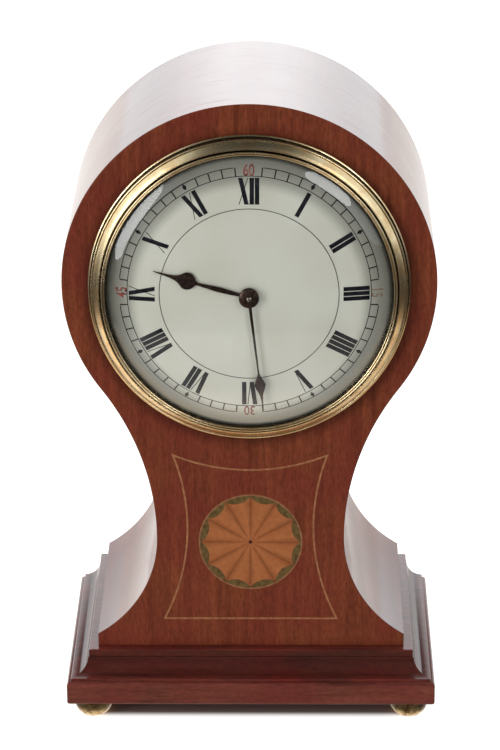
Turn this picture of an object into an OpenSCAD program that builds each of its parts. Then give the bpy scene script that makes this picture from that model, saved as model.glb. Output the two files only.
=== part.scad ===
// Balloon clock: an inlaid mahogany mantel clock with a spring-driven movement.
// Millimetres. The clock stands on Z = 0 and faces -Y; X runs to its right as seen from the front.

/* [Case] */
// Radius of the round head
drum_r = 58.3; // [57.5:0.1:60]
// Height of the centre of the round head
drum_z = 147.3; // [146:0.1:149]
// Half the width at the waist
waist_half = 29.9; // [29:0.1:31]
// Height of the waist
waist_z = 61.4; // [60.5:0.1:62.5]
// How far the foot of the body stands in from the side of the round head
foot_in = 8.9; // [8.5:0.05:9.5]
foot_half = drum_r - foot_in;
// Radius of the flare between waist and foot
flare_r = 39.5; // [38.5:0.5:40.5]
// Depth of the body
case_depth = 71; // [71:1:74]
// Thickness of the front and back panels
panel_t = 6; // [5:0.5:6.5]
// Thickness of the veneer round the sides
veneer_t = 0.8; // [0.6:0.1:1.2]

/* [Plinth] */
// Height of the brass feet
foot_h = 6.5; // [5.5:0.5:7.5]
// Widest radius of a foot
foot_r = 6.1; // [5.5:0.1:6.5]
// Thickness of the base slab
slab_h = 8.05; // [7.5:0.05:8.5]
// Overhang of the base slab beyond the body
slab_over = 9.9; // [9.7:0.1:11]
// Rounding of the slab's edges
slab_round = 1.2; // [0.8:0.1:1.5]
// Height of the cove moulding
moulding_h = 8.5; // [7.8:0.1:9]
// Radius of the cove
cove_r = 5.3; // [4.8:0.1:5.4]
// Overhang of the moulding's top fillet
fillet_over = 2.9; // [2.5:0.05:3]
// Height of the moulding's top fillet
fillet_h = 2.4; // [2:0.1:2.6]

/* [Inlay] */
// Depth of the inlay
inlay_t = 0.8; // [0.6:0.1:1.2]
// Width of the stringing
string_w = 0.6; // [0.5:0.1:1]
// Radius of the stringing's top arc about the dial centre
string_top_r = 61; // [60:0.5:62]
// Radius of the fan patera
patera_r = 16.6; // [15:0.1:17]
// Height of the patera's centre
patera_z = 59.9; // [58.5:0.1:61]
// Width of the patera's outer line
patera_line = 0.5; // [0.4:0.1:0.8]
// Number of fan petals
petals = 12; // [12:2:16]

/* [Dial and bezel] */
// Drop of the dial centre below the centre of the round head
dial_drop = 1.05; // [0:0.05:2]
// Radius of the enamel dial
dial_r = 45; // [44.8:0.1:45.2]
// Room between the dial and the bezel's sleeve
dial_room = 0.6; // [0.5:0.05:0.8]
// Wall of the bezel's sleeve
sleeve_wall = 1.1; // [1:0.05:1.3]
// Room between the sleeve and the bore that takes the clockwork
sleeve_fit = 0.2; // [0.1:0.05:0.3]
sleeve_in = dial_r + dial_room;
sleeve_r = sleeve_in + sleeve_wall;
bore_r = sleeve_r + sleeve_fit;
// Lap of the bezel's foot ring on the case
bezel_lap = 3.2; // [3.1:0.1:3.6]
bezel_r = bore_r + bezel_lap;
// Radius of the dial's dome
dial_dome = 188; // [180:1:200]
// How far the dial's centre stands in front of the case
dial_rise = 7.05; // [6.8:0.05:7.1]
// Thickness of the dial
dial_t = 1.2; // [1:0.1:1.3]
// Thickness of the convex glass
glass_t = 1.6; // [1.4:0.1:1.6]

/* [Hands] */
// Length of the hour hand
hour_len = 30.4; // [28:0.2:32]
// Length of the minute hand
minute_len = 39.2; // [37:0.2:40]
// Angle of the hour hand, clockwise from twelve
hour_angle = 284.5; // [0:0.5:360]
// Angle of the minute hand, clockwise from twelve
minute_angle = 173.6; // [0:0.1:360]

/* [Movement] */
// Radius of the plates
plate_r = 37; // [36.5:0.5:38]
// Thickness of the plates
plate_t = 2; // [1.8:0.1:2]
// Radius of the mainspring barrel
barrel_r = 15.2; // [15:0.1:15.4]

/* [Back] */
// Lap of the back ring on the case
ring_lap = 3.1; // [2.6:0.1:3.6]
ring_r = bore_r + ring_lap;
// How far the back ring reaches in from the bore's sleeve
ring_reach = 6.6; // [6.6:0.1:7.6]
ring_open = sleeve_in - ring_reach;
// Lap of the back door on its ring
door_lap = 1.2; // [0.8:0.1:1.2]
door_r = ring_open + door_lap;
// Length of the door's knob
knob_len = 5; // [4:0.5:6]

/* [Hidden] */
$fn = 96;
fine = 720;
cut = 1;

// Colours of the photographed finishes
mahogany = "#6b3023";
dark_mahogany = "#57281f";
boxwood = "#a06a48";
satinwood = "#9a5b37";
green_stain = "#665230";
brass = "#c9a24f";
steel = "#9a9a9e";
blued = "#2e2320";
enamel = "#e4e4da";

// Heights
slab_top = foot_h + slab_h;
body_z = slab_top + moulding_h;
dial_z = drum_z - dial_drop;

// Depths are measured backwards from the front face of the case, and the dial's rim stands on its pan
dial_rim_t = 1.085;
dial_edge = dial_rise - dial_dome + sqrt(dial_dome ^ 2 - dial_r ^ 2);
dial_seat = dial_rim_t - dial_edge;
pan_t = 1.2;
pan_back = dial_seat + pan_t;
ledge_t = 1.3;
front_plate_y = 10;
train_y = front_plate_y + plate_t;
plate_space = 24;
back_plate_y = train_y + plate_space;
rear_y = back_plate_y + plate_t;
platform_y = rear_y + 2.5;
platform_t = 1.2;
platform_back = platform_y + platform_t;
ring_t = 1.2;
ring_back = case_depth + ring_t;
door_y = ring_back + 0.1;
door_t = 1;
door_back = door_y + door_t;

// The convex glass sits in the bezel and clears the hands
bezel_room = 0.45;
bezel_in = sleeve_in + bezel_room;
glass_room = 0.15;
glass_r = bezel_in - glass_room;
glass_gap = 1.455;
glass_edge = dial_edge + glass_gap;
glass_inner = 150.7;
glass_inner_rise = glass_edge + glass_inner - sqrt(glass_inner ^ 2 - glass_r ^ 2);
glass_front = glass_inner_rise + glass_t;

// The part is centred between the glass and the door's knob
knob_back = door_back + knob_len;
face_y = (glass_front - knob_back) / 2;

// The neck arc touches the circle of the round head
neck_r = (waist_half ^ 2 + (drum_z - waist_z) ^ 2 - drum_r ^ 2) / (2 * (drum_r - waist_half));
neck_fall = (drum_z - waist_z) / (drum_r + neck_r);

// Tooth counts of each pair, the driver first
great_teeth = [80, 10];
inter_teeth = [60, 10];
centre_teeth = [64, 8];
third_teeth = [60, 8];
fourth_teeth = [70, 7];
cannon_teeth = [12, 36];
hour_teeth = [10, 40];
escape_teeth = 15;

// Tooth sizes, as modules
great_m = 0.4;
inter_m = 0.36;
centre_m = 0.34;
third_m = 0.32;
fourth_m = 0.26;
cannon_m = 0.4;

// Places of the arbors, seen from the front with the dial centre as origin
function mesh_distance(teeth, m) = (teeth[0] + teeth[1]) * m / 2;
function polar(r, a) = r * [cos(a), sin(a)];
inter_at = polar(mesh_distance(inter_teeth, inter_m), 180);
great_dir = -75;
barrel_at = inter_at + polar(mesh_distance(great_teeth, great_m), great_dir);
third_dir = 40;
third_at = polar(mesh_distance(centre_teeth, centre_m), third_dir);
fourth_dir = 100;
fourth_at = third_at + polar(mesh_distance(third_teeth, third_m), fourth_dir);
escape_dir = 180;
escape_at = fourth_at + polar(mesh_distance(fourth_teeth, fourth_m), escape_dir);
minute_dir = -30;
minute_space = mesh_distance(cannon_teeth, cannon_m);
minute_at = polar(minute_space, minute_dir);
hour_m = 2 * minute_space / (hour_teeth[0] + hour_teeth[1]);

// The escapement lies on one line across the platform
line_dir = 200;
lever_along = 5;
balance_along = 10.4;
lever_at = escape_at + polar(lever_along, line_dir);
balance_at = escape_at + polar(balance_along, line_dir);
escape_r = 3.6;

// Running fits
pivot_r = 0.5;
run = 0.03;
arbor_r = 0.8;
centre_r = 0.8;
pipe_r = 1.3;
hour_pipe_r = 1.75;
staff_r = 0.4;

// Plate fixings
pillar_at = 33;
pillar_r = 2.4;
pillar_angles = [20, 110, 200, 290];
leg_angles = [65, 155, 245, 335];
screw_r = 1;
screw_head_r = 2.2;
screw_head_t = 1.2;

// Straps and their screws stand above and below the clockwork
strap_t = 1.2;
strap_w = 8;
strap_gap = 0.2;
strap_in = sleeve_in - strap_gap - strap_t;
strap_screw_in = 1.5;
strap_screw_at = strap_in - strap_screw_in;

// The door's hinge stands at the left of the back ring, seen from the front
hinge_out = 2;
hinge_x = -door_r - hinge_out;
hinge_y = ring_back + 1.7;
knuckle_r = 1.4;
hinge_pin_r = 0.6;
knuckle_half = 2;
knuckle_len = 4;
knuckle_gap = 0.2;

// The ratchet and its click
ratchet_teeth = 24;
ratchet_tip = 7;
ratchet_root = 6;
ratchet_y = rear_y + 0.4;
ratchet_t = 1.2;
click_out = 10.2;
click_at = barrel_at + [click_out, 0];

// Stringing corners and waist on the right-hand side
string_top_x = 24.95;
string_top = [string_top_x, dial_z - sqrt(string_top_r ^ 2 - string_top_x ^ 2)];
string_waist = [20.65, 59.4];
string_foot = [28.2, 32.6];

// A flat outline, drawn as seen from the front, made solid between two depths
module layer(front, back) {
    translate([0, face_y + back, 0])
        rotate([90, 0, 0])
            linear_extrude(back - front)
                children();
}

// A flat outline about a point given from the dial centre
module dial_layer(front, back, at = [0, 0]) {
    layer(front, back)
        translate([at[0], dial_z + at[1]])
            children();
}

// A round rod along the depth
module rod(r, front, back, at = [0, 0]) {
    translate([at[0], face_y + front, dial_z + at[1]])
        rotate([-90, 0, 0])
            cylinder(r = r, h = back - front);
}

// A turned piece about the dial's axis, from a profile of radius against distance in front of the case
module turned() {
    translate([0, face_y, dial_z])
        rotate([90, 0, 0])
            rotate_extrude()
                children();
}

// A rectangle of such a profile
module band(inner, outer, back, front) {
    translate([inner, back])
        square([outer - inner, front - back]);
}

// A bar with round ends between two points
module bar(a, b, w) {
    along = b - a;
    translate(a)
        rotate(atan2(along[1], along[0]))
            translate([0, -w / 2])
                square([norm(along), w]);
    for (end = [a, b])
        translate(end)
            circle(d = w);
}

// Outline of the case, set in all round by inset
module case_outline(inset = 0) {
    translate([0, drum_z])
        circle(r = drum_r - inset, $fn = fine);
    neck_top = drum_z - (drum_r - inset) * neck_fall;
    block = foot_half - inset;
    difference() {
        translate([-block, body_z])
            square([2 * block, neck_top - body_z]);
        for (side = [-1, 1]) {
            half_disc(side * (waist_half + neck_r), neck_r + inset, 1);
            half_disc(side * (waist_half + flare_r), flare_r + inset, -1);
        }
    }
}

// Half a disc above or below the waist
module half_disc(x, r, up) {
    translate([x, waist_z])
        intersection() {
            circle(r = r, $fn = fine);
            translate([-2 * r, up > 0 ? 0 : -2 * r])
                square([4 * r, 2 * r]);
        }
}

// Centre of the circle through three points
function circle_through(a, b, c) =
    let (
        d = 2 * (a[0] * (b[1] - c[1]) + b[0] * (c[1] - a[1]) + c[0] * (a[1] - b[1])),
        aa = a * a,
        bb = b * b,
        cc = c * c
    ) [
        (aa * (b[1] - c[1]) + bb * (c[1] - a[1]) + cc * (a[1] - b[1])) / d,
        (aa * (c[0] - b[0]) + bb * (a[0] - c[0]) + cc * (b[0] - a[0])) / d
    ];

// The field framed by the stringing, set in all round by inset
module string_field(inset = 0) {
    side_centre = circle_through(string_top, string_waist, string_foot);
    side_r = norm(side_centre - string_waist);
    field_h = string_top[1] - string_foot[1];
    difference() {
        translate([-string_foot[0] + inset, string_foot[1] + inset])
            square([2 * (string_foot[0] - inset), field_h]);
        translate([0, dial_z])
            circle(r = string_top_r + inset, $fn = fine);
        for (side = [-1, 1])
            translate([side * side_centre[0], side_centre[1]])
                circle(r = side_r + inset, $fn = fine);
    }
}

// One sector of the patera
module patera_sector(r) {
    half = 180 / petals;
    reach = r / cos(half);
    polygon([[0, 0], polar(reach, -half), polar(reach, half)]);
}

// A petal's hollow end, as a disc that overlaps it
petal_dip = 13.8;
petal_end_r = 9.2;
eye_r = 0.6;
patera_inner = patera_r - patera_line;
module petal_end() {
    translate([petal_dip + petal_end_r, 0])
        circle(r = petal_end_r);
}

module each_petal() {
    for (i = [0:petals - 1])
        translate([0, patera_z])
            rotate((i + 0.5) * 360 / petals)
                children();
}

// Wheel teeth: radial flanks below the pitch circle and pointed arches above it
function tooth(r, add, ded, half) = [
    [r - ded, -half],
    [r, -half],
    [r + 0.6 * add, -0.66 * half],
    [r + add, 0],
    [r + 0.6 * add, 0.66 * half],
    [r, half],
    [r - ded, half]
];

module teeth_outline(count, m, add, ded, share) {
    pitch = 360 / count;
    polygon([
        for (i = [0:count - 1])
            for (p = tooth(count * m / 2, add * m, ded * m, share * pitch / 2))
                polar(p[0], i * pitch + p[1])
    ]);
}

// A wheel with crossings, a tooth of which points along dir
wheel_add = 1.15;
wheel_ded = 1.5;
wheel_share = 0.42;
module wheel_outline(count, m, dir, hub, spokes = 4) {
    rim = count * m / 2 - 1.5 * m - 1.1;
    difference() {
        rotate(dir)
            teeth_outline(count, m, wheel_add, wheel_ded, wheel_share);
        difference() {
            circle(r = rim);
            circle(r = hub);
            for (i = [0:spokes - 1])
                rotate(dir + i * 360 / spokes)
                    translate([0, -0.6])
                        square([rim + cut, 1.2]);
        }
    }
}

// A pinion, a gap of which points along dir
leaf_add = 0.55;
leaf_ded = 1.55;
leaf_share = 0.34;
module pinion_outline(count, m, dir) {
    rotate(dir + 180 / count)
        teeth_outline(count, m, leaf_add, leaf_ded, leaf_share);
}

// A flat spiral strip from r0 to r1
function spiral(r0, r1, turns, a, side) = polar(r0 + (r1 - r0) * a / (360 * turns) + side, a);
module spiral_strip(r0, r1, turns, w, step = 15) {
    angles = [0:step:360 * turns];
    back = [360 * turns:-step:0];
    polygon(concat(
        [for (a = angles) spiral(r0, r1, turns, a, w / 2)],
        [for (a = back) spiral(r0, r1, turns, a, -w / 2)]
    ));
}

// An arbor between the plates, with a thin pivot at each end
module arbor(at, front, back) {
    rod(arbor_r, train_y + 0.3, back_plate_y - 0.3, at);
    rod(pivot_r, front, back, at);
}

// Feet
foot_inset = 2;
foot_back = 2.5;
foot_x = foot_half + slab_over - foot_inset - foot_r;
foot_front_y = face_y - slab_over + foot_back + foot_r;
foot_rear_y = face_y + case_depth - foot_inset - foot_r;

module bun_foot(x, y) {
    bulge_r = 4.9;
    bulge_z = 4.2 / 6 * foot_h;
    translate([x, y, 0])
        rotate_extrude()
            intersection() {
                square([foot_r, foot_h]);
                union() {
                    translate([foot_r - bulge_r, bulge_z])
                        circle(r = bulge_r);
                    square([foot_r - bulge_r + 2, foot_h]);
                }
            }
}

module front_left_foot() {
    color(brass)
        bun_foot(-foot_x, foot_front_y);
}

module front_right_foot() {
    color(brass)
        bun_foot(foot_x, foot_front_y);
}

module rear_left_foot() {
    color(brass)
        bun_foot(-foot_x, foot_rear_y);
}

module rear_right_foot() {
    color(brass)
        bun_foot(foot_x, foot_rear_y);
}

// Plinth boards: the edge runs round the front and both sides, mitred, and is square at the back
module plinth_slab() {
    color(mahogany)
        intersection() {
            slab_run(true);
            slab_run(false);
        }
}

// The slab's section, run across the width or along the depth
module slab_run(across) {
    half = foot_half + slab_over;
    if (across)
        translate([0, face_y + case_depth, 0])
            rotate([90, 0, 0])
                linear_extrude(case_depth + slab_over)
                    slab_section(-half, half, true);
    else
        translate([-half, 0, 0])
            rotate([90, 0, 90])
                linear_extrude(2 * half)
                    slab_section(face_y - slab_over, face_y + case_depth, false);
}

module slab_section(left, right, both) {
    square_end = both ? right - slab_round : right;
    translate([left + slab_round, foot_h])
        square([square_end - left - slab_round, slab_h]);
    translate([left, foot_h + slab_round])
        square([right - left, slab_h - 2 * slab_round]);
    for (x = both ? [left + slab_round, right - slab_round] : [left + slab_round])
        for (z = [foot_h + slab_round, slab_top - slab_round])
            translate([x, z])
                circle(r = slab_round);
}

module plinth_moulding() {
    half = foot_half + slab_over;
    color(dark_mahogany)
        intersection() {
            translate([0, face_y + case_depth, 0])
                rotate([90, 0, 0])
                    linear_extrude(case_depth + slab_over)
                        moulding_section(-foot_half, foot_half, true);
            translate([-half, 0, 0])
                rotate([90, 0, 90])
                    linear_extrude(2 * half)
                        moulding_section(face_y, face_y + case_depth, false);
        }
}

// Section of the moulding: top fillet, cove and a thin fillet on the slab
module moulding_section(left, right, both) {
    quirk = 0.3;
    cove_x = fillet_over + quirk + cove_r;
    cove_z = body_z - fillet_h;
    foot_over = cove_x + 0.1;
    difference() {
        translate([left - foot_over, slab_top])
            square([right - left + (both ? 2 : 1) * foot_over, cove_z - slab_top]);
        translate([left - cove_x, cove_z])
            circle(r = cove_r);
        if (both)
            translate([right + cove_x, cove_z])
                circle(r = cove_r);
    }
    translate([left - fillet_over, cove_z])
        square([right - left + (both ? 2 : 1) * fillet_over, fillet_h]);
}

// Wooden body
module carcass() {
    color(dark_mahogany)
        layer(panel_t, case_depth - panel_t)
            difference() {
                case_outline(veneer_t);
                translate([0, dial_z])
                    circle(r = bore_r);
            }
}

module side_veneer() {
    color(mahogany)
        layer(panel_t, case_depth - panel_t)
            difference() {
                case_outline();
                case_outline(veneer_t);
            }
}

module front_panel() {
    color(mahogany)
        difference() {
            layer(0, panel_t)
                case_outline();
            rod(bore_r, -cut, panel_t + cut);
            layer(-cut, inlay_t)
                difference() {
                    string_field();
                    string_field(string_w);
                }
            layer(-cut, inlay_t)
                translate([0, patera_z])
                    circle(r = patera_r);
        }
}

module back_panel() {
    color(dark_mahogany)
        difference() {
            layer(case_depth - panel_t, case_depth)
                case_outline();
            rod(bore_r, case_depth - panel_t - cut, case_depth + cut);
            for (a = ring_screw_angles)
                rod(ring_screw_r, case_depth - ring_screw_len, case_depth + cut, polar(ring_screw_at, a));
        }
}

// Inlay
module stringing() {
    color(boxwood)
        layer(0, inlay_t)
            difference() {
                string_field();
                string_field(string_w);
            }
}

module patera_petals() {
    color(satinwood)
        layer(0, inlay_t)
            each_petal()
                difference() {
                    patera_sector(petal_dip + 1.5);
                    petal_end();
                    circle(r = eye_r);
                }
}

module patera_scallops() {
    color(green_stain)
        layer(0, inlay_t)
            intersection() {
                translate([0, patera_z])
                    circle(r = patera_inner);
                each_petal()
                    petal_end();
            }
}

module patera_ring() {
    color(boxwood)
        layer(0, inlay_t)
            translate([0, patera_z])
                difference() {
                    circle(r = patera_r);
                    circle(r = patera_inner);
                }
}

// Bezel, glass and dial
ledge_lap = 2.5;
ledge_in = dial_r - ledge_lap;
mount_face = 1.2;
module bezel_mount() {
    color(brass)
        turned() {
            band(sleeve_in, bezel_r - 0.5, 0, mount_face);
            translate([bezel_r - 0.6, mount_face / 2])
                circle(d = mount_face);
            band(sleeve_in, sleeve_r, -panel_t, mount_face);
            band(ledge_in, sleeve_r, -pan_back - ledge_t, -pan_back);
        }
}

lip_lap = 0.3;
lip_in = dial_r - lip_lap;
lip_gap = 2.06;
lip_t = 0.3;
lip_back = glass_edge + lip_gap;
lip_front = lip_back + lip_t;
module front_bezel() {
    crown_r = 3;
    crown_at = bezel_in + 0.35;
    bead_r = 0.6;
    color(brass)
        turned() {
            intersection() {
                translate([crown_at, mount_face + 0.4])
                    circle(r = crown_r);
                band(bezel_in, crown_at + crown_r, mount_face, lip_front);
            }
            band(bezel_in, bezel_in + 0.5, mount_face, lip_front);
            band(lip_in, bezel_in + 0.5, lip_back, lip_front);
            intersection() {
                translate([lip_in + bead_r, lip_front - 0.1])
                    circle(r = bead_r);
                band(lip_in, bezel_in, lip_back, lip_front + bead_r);
            }
        }
}

module glass() {
    color("#dfe6e8", 0.35)
        turned()
            translate([0, glass_inner_rise - glass_inner])
                dome_section(glass_inner, glass_t, glass_r);
}

// Half the section of a dome, cut off at radius reach
module dome_section(inner, t, reach) {
    intersection() {
        difference() {
            circle(r = inner + t, $fn = fine);
            circle(r = inner, $fn = fine);
        }
        square([reach, inner + 2 * t]);
    }
}

module glass_ring() {
    seat = 0.75;
    color(brass)
        turned()
            band(lip_in, bezel_in - 0.05, glass_edge - seat, glass_edge);
}

dial_hole_r = 2.6;
module dial() {
    color(enamel)
        turned()
            intersection() {
                translate([0, dial_rise - dial_dome])
                    dome_section(dial_dome - dial_t, dial_t, dial_r);
                band(dial_hole_r, dial_r, -dial_seat, dial_rise);
            }
}

pan_over = 0.4;
pan_r = dial_r + pan_over;
module dial_pan() {
    color(brass)
        turned()
            band(dial_hole_r, pan_r, -pan_back, -dial_seat);
}

// Frame of the movement
module movement_legs() {
    color(brass)
        for (a = leg_angles)
            rod(pillar_r, pan_back, front_plate_y, polar(pillar_at, a));
}

module plate_blank(front) {
    difference() {
        rod(plate_r, front, front + plate_t);
        for (at = [inter_at, third_at, fourth_at])
            rod(pivot_r + run, front - cut, front + plate_t + cut, at);
        for (a = pillar_angles)
            rod(screw_r, front - cut, front + plate_t + cut, polar(pillar_at, a));
        rod(pipe_r + run, front - cut, front + plate_t + cut);
        rod(winding_r + run, front - cut, front + plate_t + cut, barrel_at);
        children();
    }
}

stud_r = 0.8;
module front_plate() {
    color(brass) {
        plate_blank(front_plate_y);
        rod(stud_r, minute_pinion_y - 0.3, front_plate_y, minute_at);
    }
}

escape_hole_r = 2;
module back_plate() {
    color(brass) {
        plate_blank(back_plate_y) {
            rod(escape_hole_r, back_plate_y - cut, rear_y + cut, escape_at);
            for (at = platform_screw_at)
                rod(small_screw_r, back_plate_y - cut, rear_y + cut, at);
            rod(small_screw_r, back_plate_y - cut, rear_y + cut, spring_at);
        }
        rod(stud_r, rear_y, ratchet_y + ratchet_t + 0.4, click_at);
    }
}

screw_hold = 5;
module plate_pillars() {
    color(brass)
        for (a = pillar_angles)
            difference() {
                rod(pillar_r, train_y, back_plate_y, polar(pillar_at, a));
                rod(screw_r, train_y - cut, train_y + screw_hold, polar(pillar_at, a));
                rod(screw_r, back_plate_y - screw_hold, back_plate_y + cut, polar(pillar_at, a));
            }
}

module plate_screws() {
    color(steel)
        for (a = pillar_angles) {
            at = polar(pillar_at, a);
            rod(screw_r, front_plate_y, train_y + screw_hold, at);
            slotted_head(at, front_plate_y - screw_head_t, front_plate_y, screw_head_r, true);
            rod(screw_r, back_plate_y - screw_hold, rear_y, at);
            slotted_head(at, rear_y, rear_y + screw_head_t, screw_head_r, false);
        }
}

// A screw head with a slot on its front or rear face
module slotted_head(at, front, back, r, slot_in_front, turn = 30) {
    slot = 0.5;
    slot_y = slot_in_front ? front - cut : back - slot;
    difference() {
        rod(r, front, back, at);
        dial_layer(slot_y, slot_y + slot + cut, at)
            rotate(turn)
                square([3 * r, slot], center = true);
    }
}

// Straps that pull the clockwork against the case, and the ring they pull on
tab_t = 2;
strap_screw_r = 1.2;
strap_turns = [0, 180];
module fixing_straps() {
    front = pan_back + ledge_t;
    color(brass)
        for (a = strap_turns)
            difference() {
                union() {
                    dial_layer(front, case_depth)
                        rotate(a)
                            translate([-strap_w / 2, strap_in])
                                square([strap_w, strap_t]);
                    dial_layer(case_depth - tab_t, case_depth)
                        rotate(a)
                            translate([-strap_w / 2, strap_screw_at - 2])
                                square([strap_w, strap_in + strap_t - strap_screw_at + 2]);
                }
                rod(strap_screw_r, case_depth - 2 * tab_t, case_depth + cut, polar(strap_screw_at, a + 90));
            }
}

module strap_screws() {
    head_r = 2.1;
    head_t = 1;
    color(steel)
        for (a = strap_turns) {
            at = polar(strap_screw_at, a + 90);
            rod(strap_screw_r, case_depth - tab_t, ring_back, at);
            slotted_head(at, ring_back, ring_back + head_t, head_r, false);
        }
}

ring_screw_angles = [45, 135, 225, 315];
ring_screw_lap = 1.5;
ring_screw_at = bore_r + ring_screw_lap;
ring_screw_r = 0.6;
ring_screw_len = 4;
module back_ring() {
    sleeve_len = 3;
    knuckle_from = knuckle_half + knuckle_gap;
    color(brass)
        difference() {
            union() {
                turned() {
                    band(ring_open, ring_r, -ring_back, -case_depth);
                    band(sleeve_in, sleeve_r, -case_depth - ring_t / 2, -case_depth + sleeve_len);
                }
                for (from = [knuckle_from, -knuckle_from - knuckle_len]) {
                    knuckle(from, knuckle_len);
                    translate([hinge_x - knuckle_r, face_y + ring_back - ring_t / 2, dial_z + from])
                        cube([2 * knuckle_r, hinge_y - ring_back + ring_t / 2, knuckle_len]);
                }
            }
            hinge_bore(hinge_pin_r);
            for (a = strap_turns)
                rod(strap_screw_r, case_depth - cut, ring_back + cut, polar(strap_screw_at, a + 90));
            for (a = ring_screw_angles)
                rod(ring_screw_r, case_depth - cut, ring_back + cut, polar(ring_screw_at, a));
        }
}

module knuckle(from, len) {
    translate([hinge_x, face_y + hinge_y, dial_z + from])
        cylinder(r = knuckle_r, h = len);
}

module hinge_bore(r) {
    reach = knuckle_half + knuckle_gap + knuckle_len + cut;
    translate([hinge_x, face_y + hinge_y, dial_z - reach])
        cylinder(r = r, h = 2 * reach);
}

module ring_screws() {
    head_r = 1.3;
    head_t = 0.6;
    color(brass)
        for (a = ring_screw_angles) {
            at = polar(ring_screw_at, a);
            rod(ring_screw_r, case_depth - ring_screw_len, ring_back, at);
            slotted_head(at, ring_back, ring_back + head_t, head_r, false);
        }
}

// Back door
knob_in = 7.2;
knob_at = [door_r - knob_in, 0];
knob_shank_r = 1;
module back_door() {
    rib_in = 4.2;
    rib_r = door_r - rib_in;
    tab_x = sqrt(door_r ^ 2 - knuckle_half ^ 2) - cut;
    color(brass)
        difference() {
            union() {
                rod(door_r, door_y, door_back);
                turned()
                    translate([rib_r, -door_back])
                        circle(r = 0.6);
                knuckle(-knuckle_half, 2 * knuckle_half);
                translate([hinge_x, face_y + door_y, dial_z - knuckle_half])
                    cube([-hinge_x - tab_x + 2 * cut, door_t, 2 * knuckle_half]);
            }
            hinge_bore(hinge_pin_r + run);
            rod(knob_shank_r, door_y - cut, door_back + cut, knob_at);
        }
}

module door_knob() {
    head_r = 2.6;
    knob_neck_r = 1.4;
    color(brass)
        translate([knob_at[0], face_y, dial_z + knob_at[1]])
            rotate([-90, 0, 0])
                rotate_extrude() {
                    translate([0, door_y])
                        square([knob_shank_r, door_t]);
                    translate([0, door_back])
                        square([knob_neck_r, knob_len - head_r]);
                    intersection() {
                        translate([0, knob_back - head_r])
                            circle(r = head_r);
                        translate([0, door_back + 0.6])
                            square([head_r, knob_len]);
                    }
                }
}

module hinge_pin() {
    reach = knuckle_half + knuckle_gap + knuckle_len;
    pin_head_t = 0.5;
    color(steel)
        translate([hinge_x, face_y + hinge_y, dial_z - reach]) {
            cylinder(r = hinge_pin_r, h = 2 * reach);
            translate([0, 0, 2 * reach])
                cylinder(r = hinge_pin_r + 0.5, h = pin_head_t);
        }
}

// Hands and motion work
hand_t = 0.4;
hand_reach = 12;
hour_clear = 0.45;
minute_clear = 1.35;
hour_hand_y = -dial_rise - hour_clear - hand_t;
minute_hand_y = -dial_rise - minute_clear - hand_t;
collet_y = minute_hand_y - 0.9;
cannon_y = 5.6;
cannon_len = 2.4;
hour_wheel_y = 3;
hour_wheel_t = 1.2;
minute_pinion_y = 2.5;
minute_wheel_y = cannon_y + 0.6;
tube_r = 1.2;
set_y = 51;

module centre_arbor() {
    color(steel)
        rod(centre_r, collet_y, set_y + 6);
}

module cannon_pinion() {
    color(steel)
        difference() {
            union() {
                dial_layer(cannon_y, cannon_y + cannon_len)
                    pinion_outline(cannon_teeth[0], cannon_m, minute_dir);
                rod(tube_r, minute_hand_y, cannon_y + cannon_len);
            }
            rod(centre_r, collet_y, set_y);
        }
}

// A hand is cut from a thin dome that stands clear of the dial
module hand_shell(clear) {
    turned()
        translate([0, dial_rise - dial_dome])
            dome_section(dial_dome + clear, hand_t, dial_r);
}

// Minute hand: a tapering arm, a long diamond and a needle point
module minute_hand() {
    diamond_at = 29.6;
    diamond_half = 1.8;
    neck_at = 25.5;
    hub_r = 2.3;
    color(blued)
        difference() {
            intersection() {
                hand_shell(minute_clear);
                union() {
                    rod(hub_r, -hand_reach, 0);
                    dial_layer(-hand_reach, 0)
                        rotate(-minute_angle)
                            polygon([
                                [-0.75, 0], [-0.4, neck_at], [-diamond_half, diamond_at],
                                [-0.3, minute_len - 5.6], [0, minute_len], [0.3, minute_len - 5.6],
                                [diamond_half, diamond_at], [0.4, neck_at], [0.75, 0]
                            ]);
                }
            }
            rod(tube_r, -hand_reach, 0);
        }
}

module hand_collet() {
    collet_r = 3.1;
    dome_r = 6;
    color(blued)
        difference() {
            intersection() {
                rod(collet_r, collet_y, minute_hand_y);
                turned()
                    translate([0, -collet_y - dome_r])
                        intersection() {
                            circle(r = dome_r);
                            square(dome_r);
                        }
            }
            rod(centre_r, collet_y - cut, minute_hand_y + cut);
        }
}

module set_knob() {
    knob_r = 5;
    notches = 24;
    color(brass)
        difference() {
            rod(knob_r, set_y, set_y + 5);
            rod(centre_r, set_y - cut, set_y + 5 + cut);
            for (i = [0:notches - 1])
                rod(0.35, set_y - cut, set_y + 5 + cut, polar(knob_r, i * 360 / notches));
        }
}

module hour_wheel() {
    color(brass)
        difference() {
            union() {
                dial_layer(hour_wheel_y, hour_wheel_y + hour_wheel_t)
                    wheel_outline(hour_teeth[1], hour_m, minute_dir, 3);
                rod(hour_pipe_r, hour_hand_y, hour_wheel_y + hour_wheel_t);
            }
            rod(tube_r + run, hour_hand_y - cut, hour_wheel_y + 2 * hour_wheel_t);
        }
}

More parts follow.
